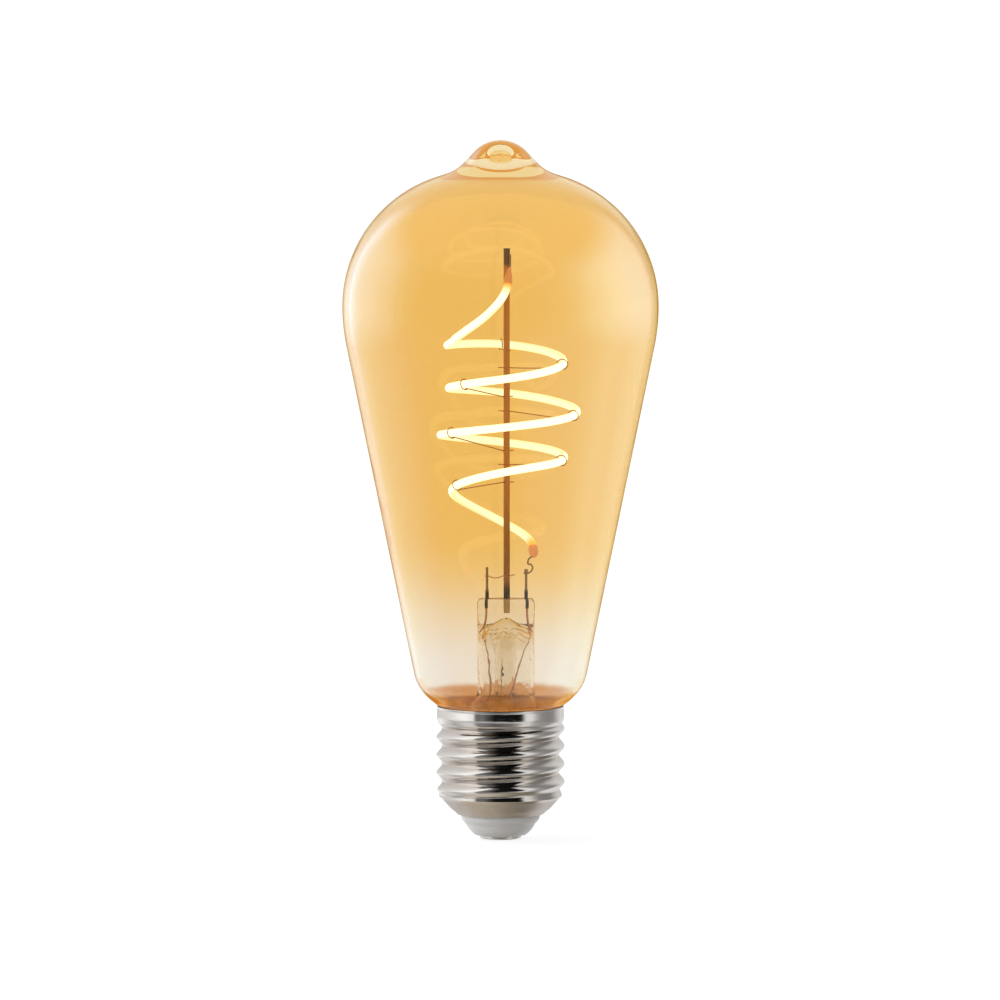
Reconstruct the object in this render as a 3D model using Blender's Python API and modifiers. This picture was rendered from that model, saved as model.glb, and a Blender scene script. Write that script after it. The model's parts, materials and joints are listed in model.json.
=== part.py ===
"""Filament lamp with a wireless driver hidden in its cap: a pear-shaped amber bulb on a threaded
screw cap, and inside it a glass stem that carries a spiral of flexible light-emitting filament.

Scene units are metres with +Z up the lamp's axis. The origin is the centre of the contact's flat
underside, -Y is the front, and the two lead posts stand left and right along X. The dimensions
below are in millimetres and are turned into metres where a mesh or a curve is made.
"""

import math

import bmesh
import bpy
import numpy as np
from mathutils import Matrix, Vector

MM = 0.001
MERGE = 1e-6
GAP = 0.1  # between pieces that touch on the real lamp
SEGMENTS = 36  # round the bulb and the cap
SMALL_SEGMENTS = 24  # round the pieces inside

# Bulb
BULB_HEIGHT = 142.0
BULB_RADIUS = 32.05
WIDEST_HEIGHT = 108.3
WALL = 0.9
CONE_HALF_ANGLE = math.radians(11.6)
SHOULDER_RADIUS = 27.5
SHOULDER_TURN = 72  # degrees of arc from the widest ring up to the tip's fillet
BELLY_RADIUS = 40.0
NECK_ROLL_HEIGHT = 33.8
LIP = (13.2, 27.45)  # the roll's lowest ring, resting on the collar
LIP_TURN = 37  # how far under level it slopes inwards, in degrees
NECK_RADIUS = 12.1
NECK_BOTTOM = 24.4
NECK_TOP = 26.6
TIP_RADIUS = 7.2
TIP_TURN = 42  # degrees over level where the tip's dome ends
HOLLOW_RADIUS = 2.3
HOLLOW_TOP = 139.3

# Cap
THREAD_PITCH = 25.4 / 7
THREAD_MEAN_RADIUS = 12.45
THREAD_DEPTH = 1.1
THREAD_TOP = 24.0
THREAD_BOTTOM = 8.6
THREAD_PHASE = 15.19  # height of a crest on the +X side
COLLAR_RADIUS = 12.9
COLLAR_TOP = 27.05
COLLAR_FOOT = 23.0
SHELL_WALL = 0.3
SHELL_FOOT = ((12.2, 8.6), (11.1, 7.2), (10.2, 6.2), (9.4, 5.55), (8.75, 4.95))
CONTACT_RADIUS = 4.3
CONTACT_THICKNESS = 0.65
EYELET_RADIUS = 1.1
EYELET_TOP = 4.0

# Stem
STEM_X = 1.1
STEM_RADIUS = 5.85
STEM_WALL = 0.9
PRESS_TOP = 49.0
CHANNEL_RADIUS = 0.47
EXHAUST_X = 0.95
EXHAUST_RADIUS = 2.2
EXHAUST_BORE = 1.5
EXHAUST_TOP = 41.3
EXHAUST_TIP = 19.4

# Wires
MAST_X = 1.26
MAST_RADIUS = 0.65
MAST_FOOT = 46.0
MAST_TOP = 120.1
POST_LEFT_X = -2.74
POST_RIGHT_X = 5.2
POST_RADIUS = 0.27
POST_FOOT_RADIUS = 0.37
SEAL_RADIUS = 0.2
LEAD_RADIUS = 0.17
JUMPER_RADIUS = 0.1
HOOK_RADIUS = 0.14
TIE_RADIUS = 0.09

# Filament: each key is the angle round the mast in degrees, the distance from it and the height
FILAMENT_RADIUS = 0.8
FILAMENT_SPACING = 3.4
FILAMENT_KEYS = (
    (278, 1.65, 113.0),
    (241, 4.6, 108.6),
    (233, 7.5, 106.5),
    (221, 9.8, 104.4),
    (204, 10.9, 102.4),
    (180, 12.0, 100.4),
    (90, 11.9, 99.6),
    (0, 11.5, 97.1),
    (-90, 12.0, 94.6),
    (-180, 11.7, 91.8),
    (-270, 13.0, 89.7),
    (-360, 14.2, 87.0),
    (-450, 13.6, 84.9),
    (-540, 13.4, 82.2),
    (-630, 12.4, 79.6),
    (-720, 11.6, 77.6),
    (-810, 11.4, 75.7),
    (-900, 11.0, 70.6),
    (-990, 8.5, 63.3),
    (-1046, 6.4, 60.6),
)
# Ties: where each one grips the filament, in degrees as above, and its height on the mast
TIES = ((98, 99.3), (-12, 95.9), (-135, 90.0), (-378, 87.1), (-503, 79.0), (-736, 76.2), (-870, 72.6))

# Driver, inside the cap
SLEEVE_RADIUS = 11.2
SLEEVE_WALL = 0.4
SLEEVE_BOTTOM = 9.2
SLEEVE_TOP = 21.6
BOARD_FRONT = 1.5
BOARD_THICKNESS = 1.0
BOARD_BOTTOM = 10.0
BOARD_TOP = 18.2
RADIO_FRONT = 6.2
RADIO_THICKNESS = 0.8

MATERIALS = {
    # name: (colour, roughness, metallic, transmission)
    "amber_glass": ((0.93, 0.62, 0.24), 0.03, 0.0, 1.0),
    "clear_glass": ((0.95, 0.93, 0.88), 0.03, 0.0, 1.0),
    "nickel_plate": ((0.78, 0.75, 0.72), 0.18, 1.0, 0.0),
    "nickel_wire": ((0.30, 0.26, 0.22), 0.35, 1.0, 0.0),
    "copper_wire": ((0.62, 0.33, 0.20), 0.30, 1.0, 0.0),
    "phosphor": ((1.0, 0.93, 0.62), 0.50, 0.0, 0.0),
    "orange_silicone": ((0.90, 0.40, 0.20), 0.40, 0.0, 0.0),
    "white_insulator": ((0.80, 0.80, 0.80), 0.45, 0.0, 0.0),
    "cement": ((0.60, 0.42, 0.28), 0.90, 0.0, 0.0),
    "sleeve_film": ((0.85, 0.85, 0.82), 0.50, 0.0, 0.0),
    "circuit_board": ((0.06, 0.25, 0.12), 0.50, 0.0, 0.0),
    "black_epoxy": ((0.03, 0.03, 0.03), 0.50, 0.0, 0.0),
    "can_aluminium": ((0.75, 0.76, 0.78), 0.30, 1.0, 0.0),
    "ferrite": ((0.15, 0.14, 0.14), 0.70, 0.0, 0.0),
    "tinned_steel": ((0.70, 0.70, 0.68), 0.30, 1.0, 0.0),
    "resistor_enamel": ((0.10, 0.35, 0.50), 0.40, 0.0, 0.0),
    "wire_insulation": ((0.75, 0.10, 0.08), 0.50, 0.0, 0.0),
}


def clear_scene():
    for obj in list(bpy.data.objects):
        bpy.data.objects.remove(obj, do_unlink=True)


def collection(name):
    made = bpy.data.collections.new(name)
    bpy.context.scene.collection.children.link(made)
    return made


def make_materials():
    """One Principled material for each finish."""
    made = {}
    for name, (colour, roughness, metallic, transmission) in MATERIALS.items():
        material = bpy.data.materials.new(name)
        material.use_nodes = True
        shader = material.node_tree.nodes["Principled BSDF"]
        shader.inputs["Base Color"].default_value = (*colour, 1.0)
        shader.inputs["Roughness"].default_value = roughness
        shader.inputs["Metallic"].default_value = metallic
        shader.inputs["Transmission Weight"].default_value = transmission
        made[name] = material
    return made


def put(name, data, finish):
    """A named object for this mesh or curve, with its own copy of the finish."""
    material = finishes[finish].copy()
    material.name = name
    data.materials.append(material)
    obj = bpy.data.objects.new(name, data)
    lamp.objects.link(obj)
    return obj


# Shapes


def turned(name, outline, finish, centre_x=0.0, segments=SEGMENTS):
    """A body of revolution. The outline is a loop of (radius, height) points that runs down the
    outer side first, and the stretch of it that lies on the axis is left out."""
    mesh = bpy.data.meshes.new(name)
    points = [(radius * MM, 0.0, height * MM) for radius, height in outline]
    loop = [(i, (i + 1) % len(points)) for i in range(len(points))]
    edges = [(a, b) for a, b in loop if outline[a][0] > MERGE or outline[b][0] > MERGE]
    mesh.from_pydata(points, edges, [])
    obj = put(name, mesh, finish)
    obj.location.x = centre_x * MM
    spin = obj.modifiers.new("Spin", "SCREW")
    spin.steps = spin.render_steps = segments
    spin.use_merge_vertices = True
    spin.merge_threshold = MERGE
    return obj


def wire(name, points, radius, finish, fineness=1):
    """A round wire along the points, with closed ends."""
    curve = bpy.data.curves.new(name, "CURVE")
    curve.dimensions = "3D"
    curve.bevel_depth = radius * MM
    curve.bevel_resolution = fineness
    curve.use_fill_caps = True
    spline = curve.splines.new("POLY")
    spline.points.add(len(points) - 1)
    for point, (x, y, z) in zip(spline.points, points):
        point.co = (x * MM, y * MM, z * MM, 1.0)
    spline.use_smooth = True
    return put(name, curve, finish)


def block(name, low, high, finish, edge=0.0):
    """A box between two corners, with its edges rounded."""
    low, high = Vector(low), Vector(high)
    bm = bmesh.new()
    bmesh.ops.create_cube(bm, size=1.0)
    bmesh.ops.scale(bm, vec=(high - low) * MM, verts=bm.verts)
    bmesh.ops.translate(bm, vec=(high + low) * MM / 2, verts=bm.verts)
    mesh = bpy.data.meshes.new(name)
    bm.to_mesh(mesh)
    bm.free()
    obj = put(name, mesh, finish)
    if edge:
        bevel = obj.modifiers.new("Edges", "BEVEL")
        bevel.width = edge * MM
        bevel.segments = 1
    return obj


def bead(name, centre, radii, finish):
    """An ellipsoid."""
    bm = bmesh.new()
    bmesh.ops.create_uvsphere(bm, u_segments=14, v_segments=9, radius=MM)
    bmesh.ops.scale(bm, vec=radii, verts=bm.verts)
    bmesh.ops.translate(bm, vec=Vector(centre) * MM, verts=bm.verts)
    mesh = bpy.data.meshes.new(name)
    bm.to_mesh(mesh)
    bm.free()
    mesh.shade_smooth()
    return put(name, mesh, finish)


def smooth(keys, steps=12):
    """Points on a Catmull-Rom curve through the keys, with this many steps from key to key."""
    keys = np.array(keys, float)
    around = np.vstack([2 * keys[0] - keys[1], keys, 2 * keys[-1] - keys[-2]])
    t = np.linspace(0, 1, steps, endpoint=False)[:, None]
    runs = [
        (2 * b + (c - a) * t + (2 * a - 5 * b + 4 * c - d) * t**2 + (3 * b - a - 3 * c + d) * t**3) / 2
        for a, b, c, d in zip(around, around[1:], around[2:], around[3:])
    ]
    return np.vstack([*runs, keys[-1:]])


def even(points, spacing):
    """The same line with its points spaced evenly along it."""
    lengths = np.linalg.norm(np.diff(points, axis=0), axis=1)
    along = np.concatenate([[0.0], np.cumsum(lengths)])
    count = max(2, round(along[-1] / spacing) + 1)
    wanted = np.linspace(0, along[-1], count)
    return np.column_stack([np.interp(wanted, along, points[:, k]) for k in range(3)])


def arc(centre, radius, start, end, count):
    """(radius, height) points on an arc, its angles in degrees from the outward direction."""
    angles = np.radians(np.linspace(start, end, count))
    return [(centre[0] + radius * math.cos(a), centre[1] + radius * math.sin(a)) for a in angles]


def bezier(a, b, c, d, count):
    """Points on a cubic Bezier curve, both ends included."""
    a, b, c, d = (np.array(p, float) for p in (a, b, c, d))
    t = np.linspace(0, 1, count)[:, None]
    points = a * (1 - t) ** 3 + 3 * b * t * (1 - t) ** 2 + 3 * c * t**2 * (1 - t) + d * t**3
    return [tuple(p) for p in points]


# Bulb


def heading(turn, length):
    """A step of this length in a direction turned this many degrees down from level outwards."""
    return np.array([math.cos(math.radians(turn)), -math.sin(math.radians(turn))]) * length


def bulb_outline(inset):
    """The bulb from its shoulder down to the neck's lower edge, moved inwards by inset: a round
    shoulder, a shallow belly, a straight cone, a roll under to the lip and a bend into the neck."""
    shoulder_centre = (BULB_RADIUS - SHOULDER_RADIUS, WIDEST_HEIGHT)
    shoulder = arc(shoulder_centre, SHOULDER_RADIUS - inset, SHOULDER_TURN, 0, 10)
    belly_centre = (BULB_RADIUS - BELLY_RADIUS, WIDEST_HEIGHT)
    cone_turn = math.degrees(CONE_HALF_ANGLE)
    belly = arc(belly_centre, BELLY_RADIUS - inset, 0, -cone_turn, 4)[1:]
    cone_radius, cone_height = belly[-1]
    slope = math.tan(CONE_HALF_ANGLE)
    roll_top = np.array([cone_radius - (cone_height - NECK_ROLL_HEIGHT) * slope, NECK_ROLL_HEIGHT])
    lip = np.array(LIP) - heading(90 - LIP_TURN, inset)
    lip_pull = lip - heading(180 - LIP_TURN, 2.25)
    roll = bezier(roll_top, roll_top + heading(90 + cone_turn, 3.2), lip_pull, lip, 8)
    neck = NECK_RADIUS - inset
    bend_pull = lip + heading(180 - LIP_TURN, 0.55)
    bend = bezier(lip, bend_pull, (neck + 0.05, NECK_TOP + 0.5), (neck, NECK_TOP), 6)[1:]
    return shoulder + belly + roll + bend + [(neck, NECK_BOTTOM)]


def glass_envelope():
    """The bulb's glass, open at the neck, with the sealed-off tip drawn up from its crown and a
    narrow hollow inside the tip."""
    tip = arc((0.0, BULB_HEIGHT - TIP_RADIUS), TIP_RADIUS, 90, TIP_TURN, 5)
    tip[0] = (0.0, BULB_HEIGHT)
    outside = bulb_outline(0.0)
    flank = np.array(tip[-1]) + heading(90 - TIP_TURN, 5.0)
    shoulder_pull = np.array(outside[0]) - heading(90 - SHOULDER_TURN, 4.2)
    fillet = bezier(tip[-1], flank, shoulder_pull, outside[0], 6)[1:-1]
    inside = bulb_outline(WALL)[::-1]
    crown = np.array(inside[-1]) - heading(90 - SHOULDER_TURN, 4.5)
    mouth = (HOLLOW_RADIUS, HOLLOW_TOP - 2.1)
    throat = bezier(inside[-1], crown, (HOLLOW_RADIUS + 0.1, mouth[1] - 1.5), mouth, 5)[1:]
    hollow = [(1.9, HOLLOW_TOP - 0.9), (1.1, HOLLOW_TOP - 0.2), (0.0, HOLLOW_TOP)]
    turned("glass_envelope", tip + fillet + outside + inside + throat + hollow, "amber_glass")


# Cap


def thread_wave(height, angle):
    """How far the rolled thread stands out here: a right-handed cosine wave that dies away at
    the collar and at the foot."""
    fade_in = min(max((height - THREAD_BOTTOM) / (0.6 * THREAD_PITCH), 0.0), 1.0)
    fade_out = min(max((THREAD_TOP - height) / (0.4 * THREAD_PITCH), 0.0), 1.0)
    turn = (height - THREAD_PHASE) / THREAD_PITCH - angle / (2 * math.pi)
    return THREAD_DEPTH / 2 * math.cos(2 * math.pi * turn) * fade_in * fade_out


def screw_shell():
    """The cap's threaded metal shell: one rolled sheet, open at the collar and at the foot."""
    collar = [(COLLAR_RADIUS, COLLAR_TOP), (COLLAR_RADIUS, 24.7), (COLLAR_RADIUS - 0.18, 23.8)]
    rows = 22
    thread = [
        (THREAD_MEAN_RADIUS, COLLAR_FOOT + (THREAD_BOTTOM - COLLAR_FOOT) * i / rows) for i in range(rows)
    ]
    outline = collar + thread + list(SHELL_FOOT)
    bm = bmesh.new()
    bmesh.ops.create_grid(bm, x_segments=SEGMENTS, y_segments=len(outline) - 1, size=1.0)
    for vertex in bm.verts:
        row = round((1 - vertex.co.y) / 2 * (len(outline) - 1))
        angle = math.pi * (vertex.co.x + 1)
        radius, height = outline[row]
        radius += thread_wave(height, angle)
        vertex.co = Vector((radius * math.cos(angle), radius * math.sin(angle), height)) * MM
    bmesh.ops.remove_doubles(bm, verts=bm.verts, dist=MERGE)
    bmesh.ops.recalc_face_normals(bm, faces=bm.faces)
    mesh = bpy.data.meshes.new("screw_shell")
    bm.to_mesh(mesh)
    bm.free()
    mesh.shade_smooth()
    obj = put("screw_shell", mesh, "nickel_plate")
    sheet = obj.modifiers.new("Sheet", "SOLIDIFY")
    sheet.thickness = SHELL_WALL * MM
    sheet.offset = -1.0


def base_insulator():
    """The insulating button that fills the shell's foot and holds the contact."""
    outline = [(10.0, 7.9), (10.2, 7.5), (9.5, 6.55), (8.7, 5.8), (8.2, 5.2), (8.1, 4.6), (7.4, 3.6)]
    outline += [(7.1, 3.1), (6.2, 1.9), (5.1, CONTACT_THICKNESS + GAP)]
    bore = EYELET_RADIUS + GAP
    outline += [(bore, CONTACT_THICKNESS + GAP), (bore, 3.2), (7.0, 3.9), (8.4, 7.9)]
    turned("base_insulator", outline, "white_insulator")


def centre_contact():
    """The contact: a disc with a flat underside, and an eyelet that takes the wire."""
    outline = [(0.0, 2.2), (0.5, 2.2), (0.5, EYELET_TOP), (EYELET_RADIUS, EYELET_TOP)]
    outline += [(EYELET_RADIUS, CONTACT_THICKNESS), (4.1, CONTACT_THICKNESS)]
    outline += [(CONTACT_RADIUS, 0.35), (4.1, 0.0), (0.0, 0.0)]
    turned("centre_contact", outline, "tinned_steel", segments=SMALL_SEGMENTS)


def capping_cement():
    """The ring of cement between the bulb's neck and the collar."""
    inner = NECK_RADIUS + 0.06
    outer = COLLAR_RADIUS - SHELL_WALL - 0.08
    outline = [(outer, 26.2), (outer, 24.8), (inner, 24.8), (inner, 25.9)]
    turned("capping_cement", outline, "cement")


# Stem


def ring(height, centre_x, half_x, half_y, power):
    """Points round a superellipse: power 2 is a plain ellipse, and more is squarer."""
    points = []
    for i in range(SEGMENTS):
        angle = 2 * math.pi * i / SEGMENTS
        across, deep = math.cos(angle), math.sin(angle)
        reach = (abs(across) ** power + abs(deep) ** power) ** (-1 / power)
        x, y = centre_x + half_x * reach * across, half_y * reach * deep
        points.append(Vector((x, y, height)) * MM)
    return points


def stem_glass():
    """The stem: a flare that joins the neck, a tube, and a flat press that grips the wires. The
    skin is a loft between unlike rings, up the outside and back down the hollow."""
    bore = STEM_RADIUS - STEM_WALL
    outside = (
        (23.3, 0.0, 10.9, 10.9, 2),
        (24.2, 0.1, 9.8, 9.8, 2),
        (25.8, 0.5, 7.9, 7.9, 2),
        (27.8, 0.9, 6.5, 6.5, 2),
        (30.0, STEM_X, STEM_RADIUS, STEM_RADIUS, 2),
        (38.6, STEM_X, STEM_RADIUS, STEM_RADIUS, 2),
        (41.0, STEM_X, STEM_RADIUS, 5.0, 2.2),
        (43.4, STEM_X, STEM_RADIUS, 3.1, 2.8),
        (45.6, STEM_X, STEM_RADIUS, 2.5, 3.5),
        (48.2, STEM_X, 5.8, 2.4, 3.5),
        (48.8, STEM_X, 5.45, 2.1, 3),
        (PRESS_TOP, STEM_X, 4.95, 1.7, 2.5),
    )
    inside = (
        (45.0, STEM_X, 0.5, 0.35, 2),
        (44.3, STEM_X, 1.5, 0.7, 2),
        (43.0, STEM_X, 3.4, 1.3, 2.2),
        (42.2, STEM_X, 4.4, 2.0, 2.4),
        (40.8, STEM_X, 4.9, 3.7, 2.2),
        (38.6, STEM_X, bore, bore, 2),
        (30.0, STEM_X, bore, bore, 2),
        (27.6, 0.9, 5.6, 5.6, 2),
        (25.4, 0.5, 7.0, 7.0, 2),
        (23.3, 0.0, 9.9, 9.9, 2),
    )
    bm = bmesh.new()
    loops = [[bm.verts.new(p) for p in ring(*spec)] for spec in outside + inside]
    top = len(outside) - 1
    for i, loop in enumerate(loops):
        following = loops[(i + 1) % len(loops)]
        if i == top:
            continue
        for k in range(SEGMENTS):
            n = (k + 1) % SEGMENTS
            bm.faces.new((loop[k], loop[n], following[n], following[k]))
    bm.faces.new(loops[top])
    bm.faces.new(loops[top + 1])
    bmesh.ops.recalc_face_normals(bm, faces=bm.faces)
    mesh = bpy.data.meshes.new("stem_glass")
    bm.to_mesh(mesh)
    bm.free()
    mesh.shade_smooth()
    obj = put("stem_glass", mesh, "clear_glass")
    pierce(obj, MAST_X, MAST_RADIUS + GAP, MAST_FOOT - GAP)
    pierce(obj, POST_LEFT_X, CHANNEL_RADIUS, 41.9)
    pierce(obj, POST_RIGHT_X, CHANNEL_RADIUS, 41.9)


def pierce(obj, x, radius, bottom):
    """Cuts an upright round channel from the press's top down to this height."""
    height = PRESS_TOP + 1.0 - bottom
    bm = bmesh.new()
    bmesh.ops.create_cone(
        bm, cap_ends=True, segments=12, radius1=radius * MM, radius2=radius * MM, depth=height * MM
    )
    place = Matrix.Translation(Vector((x, 0.0, bottom + height / 2)) * MM)
    bmesh.ops.transform(bm, matrix=place, verts=bm.verts)
    mesh = bpy.data.meshes.new("channel")
    bm.to_mesh(mesh)
    bm.free()
    cutter = bpy.data.objects.new("channel", mesh)
    cutter.hide_render = True
    cutter.display_type = "WIRE"
    cutters.objects.link(cutter)
    cut = obj.modifiers.new("Channel", "BOOLEAN")
    cut.operation = "DIFFERENCE"
    cut.object = cutter


def exhaust_tube():
    """The thin tube that the lamp was pumped and filled through, tipped off below."""
    top, tip = EXHAUST_TOP, EXHAUST_TIP
    outline = [(EXHAUST_RADIUS, top), (EXHAUST_RADIUS, tip + 3.2), (1.7, tip + 1.4), (0.8, tip + 0.3)]
    outline += [(0.0, tip), (0.0, tip + 1.6), (0.8, tip + 2.3), (EXHAUST_BORE, tip + 4.0)]
    outline += [(EXHAUST_BORE, top)]
    turned("exhaust_tube", outline, "clear_glass", centre_x=EXHAUST_X, segments=SMALL_SEGMENTS)


# Wires in the bulb


def support_mast():
    """The copper-coloured rod up the middle, with a slightly spread flat head."""
    r = MAST_RADIUS
    outline = [(0.0, MAST_TOP), (r + 0.04, MAST_TOP), (r, MAST_TOP - 0.5), (r, MAST_FOOT), (0.0, MAST_FOOT)]
    turned("support_mast", outline, "copper_wire", centre_x=MAST_X, segments=16)


def lead_wires():
    """Left and right, from the top down: the nickel post, the seal wire that the press grips,
    and the copper lead down through the stem to the driver."""
    for side, x, top in (("left", POST_LEFT_X, 55.3), ("right", POST_RIGHT_X, 54.9)):
        r, foot = POST_RADIUS, POST_FOOT_RADIUS
        outline = [(0.0, top), (r, top), (r, 50.7), (foot, 50.3), (foot, 48.3), (r, 47.9), (r, 47.0)]
        turned(f"lead_post_{side}", outline + [(0.0, 47.0)], "nickel_wire", centre_x=x, segments=10)
        seal = [(x, 0.0, 46.8), (x, 0.0, 42.8)]
        wire(f"seal_wire_{side}", seal, SEAL_RADIUS, "copper_wire")
    left = [(POST_LEFT_X, 0, 42.6), (POST_LEFT_X, -0.6, 40.0), (-2.35, -1.4, 36.0), (-1.95, -2.0, 31.0)]
    left += [(-2.5, -2.2, 28.5), (-3.4, -2.4, 26.5), (-4.4, -2.6, 22.5), (-6.8, -1.0, 19.8), (-6.8, 1.1, 18.6)]
    wire("outer_lead_left", even(smooth(left), 1.6), LEAD_RADIUS, "copper_wire")
    right = [(POST_RIGHT_X, 0, 42.6), (5.1, -0.7, 40.0), (3.75, -1.9, 35.5), (2.3, -2.6, 30.5)]
    right += [(1.8, -2.8, 28.5), (2.9, -2.9, 26.5), (4.4, -2.8, 22.5), (6.6, -1.0, 19.8), (6.6, 1.1, 18.6)]
    wire("outer_lead_right", even(smooth(right), 1.6), LEAD_RADIUS, "copper_wire")


def half_turn(centre_x, reach, height, start, end):
    """Points round an upright rod, from one angle to another in degrees."""
    angles = np.radians(np.linspace(start, end, 6))
    return [(centre_x + reach * math.cos(a), reach * math.sin(a), height) for a in angles]


def jumper_wire():
    """The thin wire that joins the left post to the mast, bent half round each of them."""
    post = POST_RADIUS + JUMPER_RADIUS + 0.06
    mast = MAST_RADIUS + JUMPER_RADIUS + 0.06
    points = half_turn(POST_LEFT_X, post, 53.5, 180, 0)
    points += [(-1.6, 0.0, 53.2), (-0.6, 0.0, 53.15)]
    points += half_turn(MAST_X, mast, 53.5, 180, 360)
    points += [(MAST_X + 1.6, 0.0, 53.75)]
    wire("jumper_wire", points, JUMPER_RADIUS, "copper_wire")


# Filament


def on_coil(turn, distance, height):
    """The point at this angle round the mast, in degrees, distance from it and height."""
    angle = math.radians(turn)
    return (MAST_X + distance * math.cos(angle), distance * math.sin(angle), height)


def led_filament():
    """The flexible filament: four right-handed turns that widen towards the middle."""
    line = [on_coil(*key) for key in smooth(FILAMENT_KEYS)]
    wire("led_filament", even(np.array(line), FILAMENT_SPACING), FILAMENT_RADIUS, "phosphor", 2)


def filament_ends():
    """The orange sleeves over the filament's two ends, the tab that joins the upper one to the
    mast, and the hooked wire that joins the lower one to the right post."""
    start = Vector(on_coil(*FILAMENT_KEYS[0]))
    sleeve = [start + Vector((0.06, 0.0, 0.4)), (1.62, -1.6, 114.5), (1.8, -1.55, 115.5)]
    wire("upper_end_sleeve", sleeve, 0.72, "orange_silicone")
    tab = [(1.88, -1.5, 115.65), (1.9, -1.1, 116.6), (1.9, -0.95, 118.9)]
    wire("upper_end_tab", tab, 0.22, "nickel_wire")
    bead("lower_end_sleeve", (6.75, 2.9, 58.6), (1.05, 1.05, 1.2), "orange_silicone")
    post = POST_RADIUS + HOOK_RADIUS + 0.06
    bends = half_turn(POST_RIGHT_X, post, 54.1, 180, 360)
    bends += [(6.2, 0.25, 54.5), (6.65, 0.7, 55.2), (6.5, 1.2, 55.9), (6.0, 1.7, 56.25)]
    bends += [(5.8, 2.2, 56.6), (6.2, 2.6, 56.95), (6.7, 2.9, 57.2)]
    wire("filament_hook", bends, HOOK_RADIUS, "nickel_wire")


def filament_ties():
    """Thin wires that hold the filament off the mast. Each starts as a stub behind the mast, bends
    half round it, runs out to the filament and takes nearly a full turn round it."""
    line = np.array([on_coil(*key) for key in smooth(FILAMENT_KEYS)])
    turns = smooth(FILAMENT_KEYS)[:, 0]
    for number, (turn, mast_height) in enumerate(TIES, start=1):
        k = int(np.argmin(np.abs(turns - turn)))
        middle = Vector(line[k])
        along = Vector(line[k + 1] - line[k - 1]).normalized()
        outward = Vector((middle.x - MAST_X, middle.y, 0.0)).normalized()
        inward = -(outward - along * outward.dot(along)).normalized()
        upward = inward.cross(along)
        if upward.z < 0:
            upward = -upward
        heading = math.degrees(math.atan2(outward.y, outward.x))
        reach = MAST_RADIUS + TIE_RADIUS + 0.06
        stub = Vector((MAST_X, 0.0, mast_height)) - outward * 2.0
        points = [stub] + half_turn(MAST_X, reach, mast_height, heading - 180, heading)
        loop_reach = FILAMENT_RADIUS + TIE_RADIUS + 0.08
        for step in np.linspace(-60, -350, 11):
            a = math.radians(step)
            side = inward * math.cos(a) + upward * math.sin(a)
            points.append(middle + side * loop_reach + along * (0.5 * (-60 - step) / 290))
        wire(f"filament_tie_{number}", points, TIE_RADIUS, "copper_wire")


# Driver


def driver_sleeve():
    """The insulating cup between the shell and the driver."""
    outer, inner = SLEEVE_RADIUS, SLEEVE_RADIUS - SLEEVE_WALL
    floor = SLEEVE_BOTTOM + SLEEVE_WALL
    outline = [(outer, SLEEVE_TOP), (outer, SLEEVE_BOTTOM + 1.0), (outer - 0.8, SLEEVE_BOTTOM)]
    outline += [(3.0, SLEEVE_BOTTOM), (3.0, floor), (inner - 0.8, floor), (inner, floor + 1.0)]
    turned("driver_sleeve", outline + [(inner, SLEEVE_TOP)], "sleeve_film")


def driver():
    """The mains driver: its board, the parts on the board's front and the parts on its back."""
    back = BOARD_FRONT + BOARD_THICKNESS
    board = (-9.4, BOARD_FRONT, BOARD_BOTTOM), (9.4, back, BOARD_TOP)
    block("driver_board", *board, "circuit_board")
    can = [(0.0, 17.9), (2.9, 17.9), (3.1, 17.6), (3.1, 11.2), (2.9, 11.0), (3.1, 10.8), (3.1, 10.3)]
    obj = turned("smoothing_capacitor", can + [(0.0, 10.3)], "can_aluminium", segments=16)
    obj.location = Vector((-4.6, -1.9, 0.0)) * MM
    drum = [(0.0, 16.3), (2.6, 16.3), (2.6, 15.5), (2.1, 15.4), (2.1, 11.2), (2.6, 11.1), (2.6, 10.3)]
    obj = turned("input_inductor", drum + [(0.0, 10.3)], "ferrite", segments=16)
    obj.location = Vector((4.4, -1.4, 0.0)) * MM
    block("bridge_rectifier", (-8.0, back + GAP, 11.2), (-3.3, back + 2.4, 15.2), "black_epoxy", 0.25)
    block("driver_chip", (2.6, back + GAP, 11.0), (7.5, back + 1.6, 14.9), "black_epoxy", 0.2)
    fuse = [(-3.2, -7.0, 11.0), (-2.9, -7.0, 11.0), (2.9, -7.0, 11.0), (3.2, -7.0, 11.0)]
    wire("fuse_resistor", fuse, 1.1, "resistor_enamel")


def radio():
    """The wireless board behind the driver, its shielding can and its wire aerial, which rises
    through the open stem to get clear of the metal cap."""
    back = RADIO_FRONT + RADIO_THICKNESS
    block("wireless_board", (-5.8, RADIO_FRONT, 10.4), (5.8, back, 18.6), "circuit_board")
    bm = bmesh.new()
    bmesh.ops.create_cube(bm, size=1.0)
    open_side = [face for face in bm.faces if face.normal.y < -0.5]
    bmesh.ops.delete(bm, geom=open_side, context="FACES_ONLY")
    bmesh.ops.scale(bm, vec=Vector((8.0, 1.8, 6.2)) * MM, verts=bm.verts)
    centre = Vector((0.0, back + GAP + 0.9, 14.2)) * MM
    bmesh.ops.translate(bm, vec=centre, verts=bm.verts)
    mesh = bpy.data.meshes.new("module_shield")
    bm.to_mesh(mesh)
    bm.free()
    obj = put("module_shield", mesh, "tinned_steel")
    sheet = obj.modifiers.new("Sheet", "SOLIDIFY")
    sheet.thickness = 0.2 * MM
    sheet.offset = -1.0
    aerial = [(-4.6, 5.9, 17.6), (-4.6, 5.6, 19.4), (-3.6, 4.6, 22.0), (-1.6, 3.6, 26.0), (-0.2, 3.45, 30.0)]
    aerial += [(-0.15, 3.4, 36.4)]
    wire("aerial_wire", even(smooth(aerial), 1.8), 0.15, "wire_insulation")


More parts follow.
